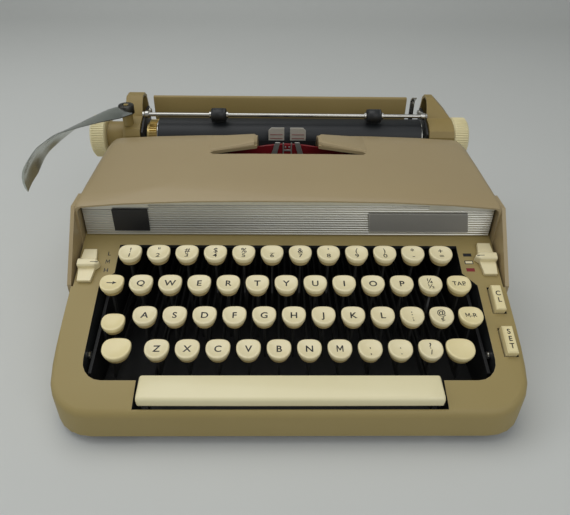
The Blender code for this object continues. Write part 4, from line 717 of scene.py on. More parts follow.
def lettering(text: str, height: float) -> bmesh.types.BMesh:
    """Return flat plain letters of a height in mm, centred on zero.

    Args:
        text: The letters, of which an M stands first or not at all.
        height: Height of a capital.

    Returns:
        The letters' mesh.
    """
    if text.startswith("M"):
        shape = Shape()
        letter = letter_m(height)
        if len(text) > 1:
            rest = lettering(text[1:], height)
            bmesh.ops.translate(letter, vec=(-0.62 * height, 0, 0), verts=letter.verts[:])
            bmesh.ops.translate(rest, vec=(0.48 * height, 0, 0), verts=rest.verts[:])
            shape.add(rest)
        shape.add(letter)
        return shape.mesh
    data = bpy.data.curves.new("letters", "FONT")
    data.body = text
    data.size = height / 0.73
    data.align_x = "CENTER"
    data.resolution_u = 4
    # A bolder stroke; the M is drawn by itself, because this would fill it in
    bold = len(text) == 1 and text.isalpha()
    data.offset = height * (0.024 if bold else 0.014)
    spare = bpy.data.objects.new("letters", data)
    mesh = bpy.data.meshes.new_from_object(spare)
    shape = bmesh.new()
    shape.from_mesh(mesh)
    for vert in shape.verts:
        vert.co.y -= height / 2
    bpy.data.objects.remove(spare)
    bpy.data.curves.remove(data)
    bpy.data.meshes.remove(mesh)
    return shape


def arrow(height: float) -> bmesh.types.BMesh:
    """Return a flat arrow that points right, its head of a height in mm, centred on zero.

    Args:
        height: Height of the head.

    Returns:
        The arrow's mesh.
    """
    shape = Shape()
    half = height / 2
    outline = [
        (-1.9 * half, -0.22 * half), (0.3 * half, -0.22 * half),
        (0.3 * half, -0.8 * half), (1.9 * half, 0), (0.3 * half, 0.8 * half),
        (0.3 * half, 0.22 * half), (-1.9 * half, 0.22 * half),
    ]
    shape.mesh.faces.new([shape.mesh.verts.new((x, y, 0)) for x, y in outline])
    return shape.mesh


class Bench:
    """Turns shapes drawn in machine mm into pieces that ride on the frame.

    Attributes:
        JOIN: Distance in mm under which two corners of a CAD mesh become one.
        FLAT: Degrees under which two of its faces become one flat.
    """

    JOIN: float = 0.002
    FLAT: float = 0.4

    def __init__(self, frame: dict, origin: Vector) -> None:
        """Keep the frame and the place of the machine's zero, on the desk under the Z row."""
        self.nodes = frame["nodes"]
        self.origin = origin

    def copy(self, node: str) -> bmesh.types.BMesh:
        """Return a CAD node's mesh in machine mm, its split corners joined and its flats whole.

        Args:
            node: Name of the CAD node.

        Returns:
            The mesh, which the caller owns.
        """
        shape = bmesh.new()
        shape.from_mesh(self.nodes[node].data)
        for vert in shape.verts:
            vert.co = (vert.co - self.origin) / MM
        bmesh.ops.remove_doubles(shape, verts=shape.verts[:], dist=self.JOIN)
        bmesh.ops.dissolve_limit(
            shape, angle_limit=math.radians(self.FLAT), verts=shape.verts[:], edges=shape.edges[:]
        )
        return shape

    def span(self, node: str) -> tuple[Vector, Vector]:
        """Return the lowest and the highest corner of a CAD node in machine mm."""
        low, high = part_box(node)
        return (Vector(low) - self.origin) / MM, (Vector(high) - self.origin) / MM

    def piece(
        self,
        name: str,
        shape: bmesh.types.BMesh,
        finishes: Sequence[Finish],
        body: str,
        replaces: Sequence[str] = (),
        bevel: float = 0.0,
        angle: float = 35.0,
    ) -> bpy.types.Object:
        """Make a piece of a shape and let it ride on its body.

        Args:
            name: Name of the piece.
            shape: Mesh in machine mm, which is freed.
            finishes: Finishes by finish number.
            body: CAD body that carries it.
            replaces: CAD nodes that it stands for.
            bevel: Width in mm of the rounding on sharp edges, 0 for none.
            angle: Degrees from which an edge counts as sharp.

        Returns:
            The new object.
        """
        bmesh.ops.recalc_face_normals(shape, faces=shape.faces[:])
        mesh = bpy.data.meshes.new(name)
        shape.to_mesh(mesh)
        shape.free()
        mesh.transform(Matrix.Translation(self.origin) @ Matrix.Scale(MM, 4))
        for finish in finishes:
            mesh.materials.append(finish.material())
        for face in mesh.polygons:
            face.use_smooth = True
        mesh.set_sharp_from_angle(angle=math.radians(angle))
        made = bpy.data.objects.new(name, mesh)
        bpy.context.scene.collection.objects.link(made)
        if bevel:
            rounding = made.modifiers.new("rounded_edges", "BEVEL")
            rounding.width = bevel * MM
            rounding.segments = 2
            rounding.angle_limit = math.radians(angle)
            rounding.use_clamp_overlap = True
            rounding.harden_normals = True
        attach(made, body)
        if replaces:
            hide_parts(*replaces)
        LOG.info("%s: %d faces on %s", name, len(mesh.polygons), body)
        return made


class Pattern:
    """Geometry Nodes tree that repeats an element in a row, about an axis or both."""

    def __init__(self) -> None:
        """Build the tree with its named inputs."""
        self.tree = bpy.data.node_groups.new("repeat_element", "GeometryNodeTree")
        kinds = {
            "Element": "NodeSocketObject",
            "Count": "NodeSocketInt",
            "Step": "NodeSocketVector",
            "Turn": "NodeSocketVector",
            "Finish": "NodeSocketMaterial",
        }
        self.sockets = {
            name: self.tree.interface.new_socket(name, in_out="INPUT", socket_type=kind).identifier
            for name, kind in kinds.items()
        }
        self.tree.interface.new_socket(
            "Geometry", in_out="OUTPUT", socket_type="NodeSocketGeometry"
        )
        given = add_node(self.tree, "NodeGroupInput", {}, {}).outputs
        number = add_node(self.tree, "GeometryNodeInputIndex", {}, {}).outputs["Index"]
        place, turn = (
            add_node(
                self.tree,
                "ShaderNodeVectorMath",
                {"operation": "SCALE"},
                {0: given[name], "Scale": number},
            ).outputs["Vector"]
            for name in ("Step", "Turn")
        )
        points = add_node(
            self.tree, "GeometryNodePoints", {}, {"Count": given["Count"], "Position": place}
        )
        element = add_node(self.tree, "GeometryNodeObjectInfo", {}, {"Object": given["Element"]})
        copies = add_node(
            self.tree,
            "GeometryNodeInstanceOnPoints",
            {},
            {
                "Points": points.outputs[0],
                "Instance": element.outputs["Geometry"],
                "Rotation": turn,
            },
        )
        whole = add_node(
            self.tree, "GeometryNodeRealizeInstances", {}, {"Geometry": copies.outputs["Instances"]}
        )
        dressed = add_node(
            self.tree,
            "GeometryNodeSetMaterial",
            {},
            {"Geometry": whole.outputs["Geometry"], "Material": given["Finish"]},
        )
        add_node(self.tree, "NodeGroupOutput", {}, {"Geometry": dressed.outputs["Geometry"]})

    def repeat(
        self,
        element: "Shape",
        count: int,
        finish: Finish,
        step: Sequence[float] = (0, 0, 0),
        turn: Sequence[float] = (0, 0, 0),
    ) -> bmesh.types.BMesh:
        """Return the repeated element as one plain mesh.

        Args:
            element: One copy, in machine mm; it is freed.
            count: Number of copies.
            finish: Finish of the copies.
            step: Shift in mm from one copy to the next.
            turn: Turn in radians about x, y and z from one copy to the next.

        Returns:
            All copies in one mesh.
        """
        mesh = bpy.data.meshes.new("element")
        element.mesh.to_mesh(mesh)
        element.mesh.free()
        source = bpy.data.objects.new("element", mesh)
        host = bpy.data.objects.new("row", bpy.data.meshes.new("row"))
        for made in (source, host):
            bpy.context.scene.collection.objects.link(made)
        nodes = host.modifiers.new("repeat", "NODES")
        nodes.node_group = self.tree
        values = {"Element": source, "Count": count, "Step": step, "Turn": turn}
        for name, value in values.items():
            nodes[self.sockets[name]] = value
        nodes[self.sockets["Finish"]] = finish.material()
        bpy.context.view_layer.update()
        graph = bpy.context.evaluated_depsgraph_get()
        row = bpy.data.meshes.new_from_object(host.evaluated_get(graph))
        shape = bmesh.new()
        shape.from_mesh(row)
        spare = [host.data, mesh, row]
        host.modifiers.remove(nodes)
        for made in (source, host):
            bpy.data.objects.remove(made)
        for data in spare:
            bpy.data.meshes.remove(data)
        return shape


@dataclass(frozen=True)
class Cap:
    """Key cap: a shell flat behind and round in front, over a darker lower ring.

    Attributes:
        width: Widest size across.
        depth: Size from front to rear.
        height: Height from the foot to the rim.
        step: Height below the rim at which the lower ring begins.
        dish: Depth of the hollow in the top.
        rim: Width of the rounded rim.
        tilt: Degrees by which the top leans back.
        taper: Share by which the front is narrower than the rear.
        points: Points round the cap.
    """

    width: float = 16.3
    depth: float = 15.2
    height: float = 7.0
    step: float = 3.2
    dish: float = 1.0
    rim: float = 1.1
    tilt: float = 7.0
    taper: float = 0.12
    points: int = 36

    def ring(self, share: float, height: float) -> list[Vector]:
        """Return the outline at a share of the full size.

        Args:
            share: Share of the full size.
            height: Height of the outline above the rim.

        Returns:
            The points, round the cap.
        """
        ring = []
        for index in range(self.points):
            turn = math.tau * (index + 0.5) / self.points
            across, along = math.cos(turn), math.sin(turn)
            square = 0.7 if along > 0 else 0.94
            side = math.copysign(abs(across) ** square, across)
            reach = math.copysign(abs(along) ** (square + 0.06), along)
            side *= 1 - self.taper * (1 - reach) / 2
            ring.append(
                Vector((side * self.width * share / 2, reach * self.depth * share / 2, height))
            )
        return ring

    def surface(self, share: float) -> float:
        """Return the height of the dished top at a share of the way out."""
        inner = 1 - 2.4 * self.rim / self.width
        return -self.dish * max(0.0, 1 - (share / inner) ** 2)

    def settle(self, place: Vector) -> Matrix:
        """Return the move that leans the cap back and puts it in its place."""
        return Matrix.Translation(place) @ Matrix.Rotation(math.radians(self.tilt), 4, "X")

    def build(
        self, shape: Shape, place: Vector, legend: Sequence[tuple[str, float, float]]
    ) -> None:
        """Add the cap with its top at a place.

        Args:
            shape: Mesh that takes the cap; finish 0 is the shell, 1 the lower ring and 2 the ink.
            place: Middle of the rim.
            legend: Text, letter height and shift towards the rear of each line on the top.
        """
        settle = self.settle(place)
        edge = 1 - 2 * self.rim / self.width
        skirt = [(0.74, -self.height), (0.81, -self.height + 0.5), (0.93, -self.step)]
        shell = [
            (0.96, -self.step - 0.05),
            (0.972, -self.step + 0.25),
            (0.995, -self.rim - 0.5),
            (1.0, -self.rim * 0.8),
            (0.985, -self.rim * 0.38),
            (0.95, -self.rim * 0.08),
            ((edge + 0.93) / 2, 0.0),
        ]
        top = [(share, self.surface(share)) for share in (edge * 0.97, 0.74, 0.6, 0.42, 0.2)]
        for rings, finish in ((skirt, 1), (shell + top, 0)):
            shape.loft([[settle @ point for point in self.ring(*ring)] for ring in rings], finish)
        for text, height, shift in legend:
            self.mark(
                shape, settle, arrow(height) if text == ARROW else lettering(text, height), shift
            )

    def mark(self, shape: Shape, settle: Matrix, letters: bmesh.types.BMesh, shift: float) -> None:
        """Lay flat letters on the dished top.

        Args:
            shape: Mesh that takes the letters.
            settle: Move that puts the cap in its place.
            letters: The flat letters, which are freed.
            shift: Shift towards the rear.
        """
        for vert in letters.verts:
            out = math.hypot(2 * vert.co.x / self.width, 2 * (vert.co.y + shift) / self.depth)
            vert.co = settle @ Vector((vert.co.x, vert.co.y + shift, self.surface(out) + 0.05))
        shape.add(letters, 2)


@dataclass(frozen=True)
class Keyboard:
    """Letter, number and sign keys on their levers, in machine mm.

    Attributes:
        pitch: Distance between keys of a row.
        rise: Step up from row to row.
        first_top: Height of the nearest row's caps.
        foot: Height of the CAD caps, below which the levers begin.
        cap: Form of the caps.
        rows: Shift to the right in pitches and letters of each row, from the nearest.
        figures: Lower and upper sign of each number key.
        signs: Row, number in the row, lower and upper sign of each sign key.
        letter_height: Height of the letters.
        sign_height: Height of the signs.
        sign_shifts: Shifts towards the rear of the lower and the upper sign.
    """

    pitch: float = 19.05
    rise: float = 11.0
    first_top: float = 45.0
    foot: float = 7.0
    cap: Cap = Cap()
    rows: tuple = ((1.25, "zxcvbnm"), (0.75, "asdfghjkl"), (0.5, "qwertyuiop"), (0.0, ""))
    figures: tuple = (
        ("1", "!"), ("2", '"'), ("3", "#"), ("4", "$"), ("5", "%"), ("6", "_"),
        ("7", "&"), ("8", "'"), ("9", "("), ("0", ")"), ("-", "*"), ("=", "+"),
    )
    signs: tuple = (
        (0, 7, ",", ","), (0, 8, ".", "."), (0, 9, "/", "?"),
        (1, 9, ";", ":"), (1, 10, "¢", "@"), (2, 10, "½", "¼"),
    )
    letter_height: float = 5.0
    sign_height: float = 4.2
    sign_shifts: tuple[float, float] = (-2.1, 2.8)

    def place(self, row: int, number: int, shift: float) -> Vector:
        """Return the middle of a cap's rim.

        Args:
            row: Number of the row, from the nearest.
            number: Number of the key in its row.
            shift: Shift of the keys to the side of the machine's middle.

        Returns:
            The place.
        """
        middle = (11 / 2) * self.pitch
        x = (number + self.rows[row][0]) * self.pitch - middle + shift
        return Vector((x, row * self.pitch, self.first_top + row * self.rise))

    def shift(self, bench: Bench) -> float:
        """Return how far the keys stand to the side of the machine's middle."""
        low, high = bench.span("key_g")
        return (low.x + high.x) / 2 - self.place(1, 4, 0).x

    def bare(self, shape: bmesh.types.BMesh, place: Vector, whole: bool) -> None:
        """Take the plain cap off a lever, which ends in the new cap's foot.

        Args:
            shape: The levers' mesh.
            place: Middle of the new cap's rim.
            whole: Whether the mesh holds this lever only, so that one cut does.
        """
        upward = Matrix.Rotation(math.radians(self.cap.tilt), 3, "X") @ Vector((0, 0, 1))
        foot = place - upward * (self.foot + 0.05)
        parts = shape.verts[:] + shape.edges[:] + shape.faces[:]
        bmesh.ops.bisect_plane(shape, geom=parts, plane_co=foot, plane_no=upward, clear_outer=whole)
        if not whole:
            gone = [
                face
                for face in shape.faces
                if (face.calc_center_median() - foot).dot(upward) > 0.01
                and abs(face.calc_center_median().x - place.x) < self.pitch / 2
                and abs(face.calc_center_median().y - place.y) < self.pitch / 2
            ]
            bmesh.ops.delete(shape, geom=gone, context="FACES")
        bmesh.ops.holes_fill(
            shape, edges=[edge for edge in shape.edges if edge.is_boundary], sides=8
        )

    def build(self, bench: Bench) -> None:
        """Make every letter key and the set of number and sign keys.

        Args:
            bench: Maker of the pieces.
        """
        finishes = (Finishes.CAP, Finishes.SKIRT, Finishes.INK, Finishes.LEVER)
        shift = self.shift(bench)
        for row, (_, letters) in enumerate(self.rows):
            for number, letter in enumerate(letters):
                node = "key_" + letter
                place = self.place(row, number, shift)
                lever = bench.copy(node)
                self.bare(lever, place, True)
                shape = Shape()
                shape.add(lever, 3)
                self.cap.build(shape, place, [(letter.upper(), self.letter_height, 0.4)])
                bench.piece(node + "_dressed", shape.mesh, finishes, node, (node,))
        shape = Shape()
        levers = bench.copy("figure_keys")
        legends = [(3, number, *pair) for number, pair in enumerate(self.figures)]
        legends += self.signs
        for row, number, low, high in legends:
            place = self.place(row, number, shift)
            self.bare(levers, place, False)
            lines = zip((low, high), self.sign_shifts)
            legend = [(sign, self.sign_height, along) for sign, along in lines]
            self.cap.build(shape, place, legend)
        shape.add(levers, 3)
        bench.piece(
            "figure_keys_dressed", shape.mesh, finishes, "figure_keys", ("figure_keys",),
        )


@dataclass(frozen=True)
class SideKeys:
    """Backspace, tabulator, margin release, shift lock and both shift keys.

    Attributes:
        keyboard: Keyboard whose rows they stand in.
        shift_cap: Cap of the shift keys.
        shift_x: Places of the shift keys to the left and right.
        lock_cap: Cap of the shift lock.
        lock_place: Place along y and height of the shift lock's rim.
    """

    keyboard: Keyboard = Keyboard()
    shift_cap: Cap = Cap(width=19.2, depth=16.8, dish=0.9)
    shift_x: tuple[float, float] = (-108.3, 107.0)
    lock_cap: Cap = Cap(width=15.8, depth=14.4, height=6.8)
    lock_place: tuple[float, float] = (16.7, 52.0)

    def build(self, bench: Bench) -> None:
        """Make each key beside the letters.

        Args:
            bench: Maker of the pieces.
        """
        row, rise, top = self.keyboard.pitch, self.keyboard.rise, self.keyboard.first_top
        cap = Cap(width=16.5)
        wide = [(2 * row, top + 2 * rise), (row, top + rise)]
        self.key(bench, "backspace_key", "backspace", cap, wide[0], [(ARROW, 3.4, 0.4)])
        self.key(bench, "tab_key", "tabulator", cap, wide[0], [("TAB", 3.7, 0.6)])
        self.key(bench, "margin_release_key", "margin_release", cap, wide[1], [("M-R", 3.5, 0.6)])
        self.key(bench, "shift_lock_key", "shift_lock", self.lock_cap, self.lock_place, [])
        levers = bench.copy("shift_keys")
        shape = Shape()
        for x in self.shift_x:
            place = Vector((x, 0, top))
            self.keyboard.bare(levers, place, False)
            self.shift_cap.build(shape, place, [])
        shape.add(levers, 3)
        bench.piece(
            "shift_keys_dressed", shape.mesh, self.finishes(), "shift", ("shift_keys",),
        )

    def finishes(self) -> tuple[Finish, ...]:
        """Return the finishes of a side key by number."""
        return Finishes.SIDE_CAP, Finishes.SIDE_SKIRT, Finishes.INK, Finishes.LEVER

    def key(
        self, bench: Bench, node: str, body: str, cap: Cap, place: tuple, legend: Sequence[tuple]
    ) -> None:
        """Make one key on its lever.

        Args:
            bench: Maker of the pieces.
            node: CAD node that it stands for.
            body: CAD body that carries it.
            cap: Form of its cap.
            place: Place along y and height of the rim.
            legend: Lines on the top.
        """
        low, high = bench.span(node)
        spot = Vector(((low.x + high.x) / 2, *place))
        lever = bench.copy(node)
        self.keyboard.bare(lever, spot, True)
        shape = Shape()
        shape.add(lever, 3)
        cap.build(shape, spot, legend)
        bench.piece(node + "_dressed", shape.mesh, self.finishes(), body, (node,))


@dataclass(frozen=True)
class SpaceBar:
    """Long bar with a rounded front edge on its two dark arms, in machine mm.

    Attributes:
        rear: Place along y of the rear edge.
        front: Place along y of the front face.
        top: Height at the rear.
        lip: Height in front.
        bottom: Height of the underside.
        bow: Forward swell of the front in the middle.
        rounding: Radius of the long edges.
    """

    rear: float = -15.5
    front: float = -32.7
    top: float = 38.0
    lip: float = 36.4
    bottom: float = 29.6
    bow: float = 0.2
    rounding: float = 2.4

    def build(self, bench: Bench) -> None:
        """Make the bar and its arms.

        Args:
            bench: Maker of the pieces.
        """
        low, high = bench.span("space_bar")
        half = (high.x - low.x) / 2
        middle = (high.x + low.x) / 2
        shape = Shape()
        rings = []
        ends = ((0.0, 1.6), (0.25, 0.8), (0.8, 0.25), (1.6, 0.0))
        inner = [half * share for share in (-0.9, -0.6, -0.3, 0, 0.3, 0.6, 0.9)]
        stations = [(-half + along, inset) for along, inset in ends]
        stations += [(x, 0.0) for x in inner]
        stations += [(half - along, inset) for along, inset in reversed(ends)]
        for x, inset in stations:
            rear = self.rear - inset * 0.6
            front = self.front + inset - self.bow * (1 - (x / half) ** 2)
            nose = arc(
                (front + self.rounding, self.lip - inset - self.rounding), self.rounding, 180, 98, 5
            )
            back = arc((rear - 1.1, self.top - inset * 0.7 - 1.1), 1.1, 80, 0, 4)
            outline = [(front + 0.5, self.bottom)] + nose + back + [(rear, self.bottom)]
            rings.append([Vector((middle + x, y, z)) for y, z in outline])
        shape.loft(rings, 0)
        arms = bench.copy("space_bar")
        gone = [face for face in arms.faces if face.calc_center_median().z > self.bottom - 0.2]
        gone += [
            face
            for face in arms.faces
            if abs(face.calc_center_median().x) < half - 12
            and face.calc_center_median().y < self.rear + 1
        ]
        bmesh.ops.delete(arms, geom=list(set(gone)), context="FACES")
        shape.add(arms, 1)
        bench.piece(
            "space_bar_dressed",
            shape.mesh,
            (Finishes.BAR, Finishes.LEVER),
            "space_bar",
            ("space_bar",),
        )


@dataclass(frozen=True)
class Refined:
    """CAD node whose shape is right and only wants joined faces, rounded edges and its finish.

    Attributes:
        node: The CAD node.
        body: CAD body that carries it.
        finish: Finish of all its faces.
        slot: The record's material slot; not used.
        bevel: Width in mm of the rounding on sharp edges.
        angle: Degrees from which an edge counts as sharp.
    """

    node: str
    body: str
    finish: Finish
    slot: str
    bevel: float = 0.4
    angle: float = 35.0

    def build(self, bench: Bench) -> None:
        """Make the piece that stands for the node.

        Args:
            bench: Maker of the pieces.
        """
        shape = bench.copy(self.node)
        for face in shape.faces:
            face.material_index = 0
        bench.piece(
            self.node + "_dressed",
            shape,
            (self.finish,),
            self.body,
            (self.node,),
            self.bevel,
            self.angle,
        )


@dataclass(frozen=True)
class Casing:
    """Cover, housing with its black well, ribbed strip, bare plates and bolts, in machine mm.

    Attributes:
        well_middle: Place along y of the well's middle.
        well_rear: Place along y of the well's rear wall.
        rib_pitch: Distance between the strip's ribs.
        upper_share: Share of the strip's width that the upper ribs take, under the brow's crown.
        rib_share: Radius of a rib as a share of that distance.
        backing: Thickness of the plate that carries the ribs.
        drop: Drop of its upper edge at the ends, which follows the brow.
        steps: Steps along that edge.
        long_plate: Corners of the bare plate to the right, across and in height.
        short_plate: Corners of the bare plate to the left.
        bolt: Places along y and height of the bolts in the well's sides.
        screw_side: Distance of the pan's screws from its sides.
        screw_ends: Their distances from its front and its rear.
    """

    well_middle: float = 30.0
    well_rear: float = 78.0
    rib_pitch: float = 1.9
    upper_share: float = 0.68
    rib_share: float = 0.36
    backing: float = 0.9
    drop: float = 5.0
    steps: int = 16
    long_plate: tuple = ((55.5, 92.0), (125.4, 92.0), (128.4, 77.0), (57.5, 77.0))
    short_plate: tuple = ((-123.4, 94.4), (-98.6, 94.4), (-98.6, 77.2), (-123.4, 77.2))
    bolt: tuple[float, float] = (4.0, 35.0)
    screw_side: float = 16
    screw_ends: tuple[float, float] = (36, 30)

    def build(self, bench: Bench, pattern: Pattern) -> None:
        """Make the fixed outside of the machine.

        Args:
            bench: Maker of the pieces.
            pattern: Tree that repeats an element.
        """
        cover = Refined("top_cover", "cover", Finishes.COVER, "tan_enamel", 0.9, 30.0)
        cover.build(bench)
        self.housing(bench)
        self.strip(bench, pattern)
        self.plates(bench)
        self.bolts(bench, pattern)

    def housing(self, bench: Bench) -> None:
        """Make the housing, its inner faces black as in the photograph.

        Args:
            bench: Maker of the pieces.
        """
        shape = bench.copy("lower_housing")
        shape.normal_update()
        for face in shape.faces:
            centre, facing = face.calc_center_median(), face.normal
            inward = centre.x * facing.x + (centre.y - self.well_middle) * facing.y < 0
            wall = inward and facing.z < 0.25 and centre.y < self.well_rear + 4
            face.material_index = int(wall or facing.z < -0.5)
        bench.piece(
            "lower_housing_dressed",
            shape,
            (Finishes.HOUSING, Finishes.WELL),
            "frame",
            ("lower_housing",),
            0.8,
        )

    def strip(self, bench: Bench, pattern: Pattern) -> None:
        """Make the strip: a plate that follows the brow and fine ribs along it.

        Args:
            bench: Maker of the pieces.
            pattern: Tree that repeats an element.
        """
        low, high = bench.span("trim_strip")
        shape = Shape()
        outline = []
        for step in range(self.steps + 1):
            share = 2 * step / self.steps - 1
            outline.append((share * high.x, high.z - self.drop * abs(share) ** 3))
        outline += [(high.x, low.z), (low.x, low.z)]
        shape.prism(outline, "y", high.y - self.backing, high.y)
        count = int((high.z - self.drop - 0.5 - low.z) / self.rib_pitch)
        rib = Shape()
        middle = (high.y - self.backing, low.z + self.rib_pitch / 2)
        radius = self.rib_pitch * self.rib_share
        rib.prism(arc(middle, radius, 90, 270, 5), "x", low.x + 0.2, high.x - 0.2)
        ribs = pattern.repeat(rib, count, Finishes.TRIM, step=(0, 0, self.rib_pitch))
        shape.add(ribs, 0)
        above = Shape()
        middle = (high.y - self.backing, low.z + self.rib_pitch * (count + 0.5))
        reach = high.x * self.upper_share
        above.prism(arc(middle, radius, 90, 270, 5), "x", -reach, reach)
        shape.add(pattern.repeat(above, 2, Finishes.TRIM, step=(0, 0, self.rib_pitch)), 0)
        bench.piece(
            "trim_strip_dressed", shape.mesh, (Finishes.TRIM,), "frame", ("trim_strip",),
        )

    def plates(self, bench: Bench) -> None:
        """Set the two bare plates on the strip: a long grey one and a short dark one.

        Args:
            bench: Maker of the pieces.
        """
        low = bench.span("trim_strip")[0]
        face = low.y - 0.2
        long = Shape()
        long.prism(self.long_plate, "y", face - 0.7, face + 0.9)
        bench.piece(
            "plate_long", long.mesh, (Finishes.PLATE,), "frame", (), 0.3
        )
        short = Shape()
        short.prism(self.short_plate, "y", face - 0.6, face + 0.9)
        bench.piece("plate_short", short.mesh, (Finishes.BLACK,), "frame", (), 0.2)

    def bolts(self, bench: Bench, pattern: Pattern) -> None:
        """Put a bolt in each side of the well and the screws along the pan's edge.

        Args:
            bench: Maker of the pieces.
            pattern: Tree that repeats an element.
        """
        shape = Shape()
        reach = bench.span("margin_release_key")[1].x + 3.1
        for side in (-1, 1):
            head = [(0.6, 0.2), (0.5, 2.7), (-0.9, 2.9), (-1.5, 2.4), (-1.7, 0.6), (-1.5, 0.2)]
            profile = [(side * (reach + along), radius) for along, radius in head]
            shape.turned(profile, "x", self.bolt, 18)
        bench.piece("well_bolts", shape.mesh, (Finishes.CHROME,), "frame", ())
        low, high = bench.span("base_frame")
        screw = Shape()
        near, far = self.screw_ends
        spots = ((low.x + self.screw_side, low.y + near), (low.x + self.screw_side, high.y - far))
        profile = [(3.6, 0.2), (3.7, 2.6), (4.6, 3.0), (5.3, 3.0), (5.4, 0.2)]
        for spot in spots:
            screw.turned(profile, "z", spot, 14)
        row = pattern.repeat(
            screw, 2, Finishes.STEEL, step=(high.x - low.x - 2 * self.screw_side, 0, 0)
        )
        bench.piece("pan_screws", row, (Finishes.STEEL,), "frame", ())


@dataclass(frozen=True)
class ArmControls:
    """Sliders and small keys on the arms with their letters and marks, in machine mm.

    Attributes:
        slope: Rise of the arms per mm.
        deck_zero: Height of the arms' surface at y 0.
        letter_x: Place of the letters beside the left slider.
        mark_x: Place of the colour marks beside the right slider.
        key_share: Share of the slot's width that a small key fills.
        letter_pitch: Distance between a small key's letters.
        key_letter: Height of a small key's letters.
        touch_letter: Height of the letters beside the left slider.
        ink: Height of a print above what carries it.
        touch_letters: Letters beside the left slider and their places along y.
        colour_marks: Place along y, height above the arm, finish number, half width and half
            depth of each mark; the third lies on the second.
    """

    slope: float = 0.365
    deck_zero: float = 41.0
    letter_x: float = -125.8
    mark_x: float = 126.0
    key_share: float = 0.86
    letter_pitch: float = 5.0
    key_letter: float = 3.6
    touch_letter: float = 3.3
    ink: float = 0.06
    touch_letters: tuple = (("L", 70.9), ("M", 64.5), ("H", 57.9))
    colour_marks: tuple = (
        (70.7, 0.04, 0, 2.9, 1.3), (64.8, 0.04, 0, 3.0, 1.5),
        (64.8, 0.07, 2, 2.4, 0.9), (58.9, 0.04, 1, 2.9, 1.4),
    )

    def settle(self, x: float, y: float, above: float) -> Matrix:
        """Return the move from a flat drawing to the arm's slope, a height above it.

        Args:
            x: Place across.
            y: Place along the arm.
            above: Height above the arm's surface.

        Returns:
            The move.
        """
        turn = Matrix.Rotation(math.atan(self.slope), 4, "X")
        spot = Vector((x, y, self.deck_zero + self.slope * y))
        return Matrix.Translation(spot) @ turn @ Matrix.Translation((0, 0, above))

    def build(self, bench: Bench) -> None:
        """Make the controls and what is printed beside them.

        Args:
            bench: Maker of the pieces.
        """
        self.slider(bench, "touch_lever", "touch_control", 1)
        self.slider(bench, "ribbon_selector", "ribbon_control", -1)
        self.small_key(bench, "tab_clear_key", "tab_clear", "CL")
        self.small_key(bench, "tab_set_key", "tab_set", "SET")
        self.marks(bench)

    def slider(self, bench: Bench, node: str, body: str, inward: int) -> None:
        """Make a slider with its two panels, its ridge and the pointer at its inner end.

        Args:
            bench: Maker of the pieces.
            node: CAD node that it stands for.
            body: CAD body that carries it.
            inward: 1 where the inner end points right, -1 where it points left.
        """
        low, high = bench.span(node)
        middle = (low + high) / 2
        half = (high.x - low.x) / 2 - 0.4
        y = middle.y
        shape = Shape()
        settle = self.settle(middle.x, y, 0)
        inner, outer = inward * half, -inward * half
        panels = (
            [(outer * 0.8, 13), (inner * 0.72, 13), (inner * 0.94, 3), (outer * 0.98, 3)],
            [(outer * 1.0, -2), (inner * 0.98, -2), (inner * 0.72, -13), (outer * 0.82, -13)],
        )
        for outline in panels:
            shape.loft([[settle @ Vector((*point, z)) for point in outline] for z in (0.3, 2.7)], 0)
        ridge = [(-3.1, 0.4), (-2.8, 5.4), (-1.9, 6.3), (2.2, 6.3), (3.3, 5.2), (3.6, 0.4)]
        ends = []
        for x, low_share in ((outer * 1.05, 1.0), (inner * 0.98, 1.0), (inner * 1.42, 0.25)):
            high_share = 0.7 + 0.3 * low_share
            ends.append(
                [
                    settle @ Vector((x, reach * low_share, height * high_share))
                    for reach, height in ridge
                ]
            )
        shape.loft(ends, 0)
        line = [
            (inner * 0.45, -0.25), (inner * 1.38, -0.25), (inner * 1.38, 0.25), (inner * 0.45, 0.25)
        ]
        shape.loft([[settle @ Vector((*point, z)) for point in line] for z in (6.1, 6.36)], 1)
        stem = bench.copy(node)
        upward = settle.to_3x3() @ Vector((0, 0, 1))
        parts = stem.verts[:] + stem.edges[:] + stem.faces[:]
        bmesh.ops.bisect_plane(
            stem, geom=parts, plane_co=settle @ Vector((0, 0, 0.28)), plane_no=upward,
            clear_outer=True
        )
        shape.add(stem, 0)
        bench.piece(
            node + "_dressed", shape.mesh, (Finishes.CAP, Finishes.INK), body, (node,),
            0.35
        )

    def small_key(self, bench: Bench, node: str, body: str, letters: str) -> None:
        """Make a small key of an arm with its letters one above the other.

        Args:
            bench: Maker of the pieces.
            node: CAD node that it stands for.
            body: CAD body that carries it.
            letters: Letters on it, from the rear to the front.
        """
        low, high = bench.span(node)
        middle = (low + high) / 2
        shape = Shape()
        key = bench.copy(node)
        for vert in key.verts:
            vert.co.x = middle.x + (vert.co.x - middle.x) * self.key_share
        shape.add(key, 0)
        top = max(
            (self.settle(middle.x, middle.y, 0).inverted() @ vert.co).z for vert in shape.mesh.verts
        )
        for number, letter in enumerate(letters):
            line = lettering(letter, self.key_letter)
            place = (len(letters) - 1) / 2 - number
            along = middle.y + place * self.letter_pitch * math.cos(math.atan(self.slope))
            settle = self.settle(middle.x, along, top + self.ink)
            for vert in line.verts:
                vert.co = settle @ vert.co
            shape.add(line, 1)
        bench.piece(
            node + "_dressed", shape.mesh, (Finishes.SIDE_CAP, Finishes.INK), body, (node,),
            0.4
        )

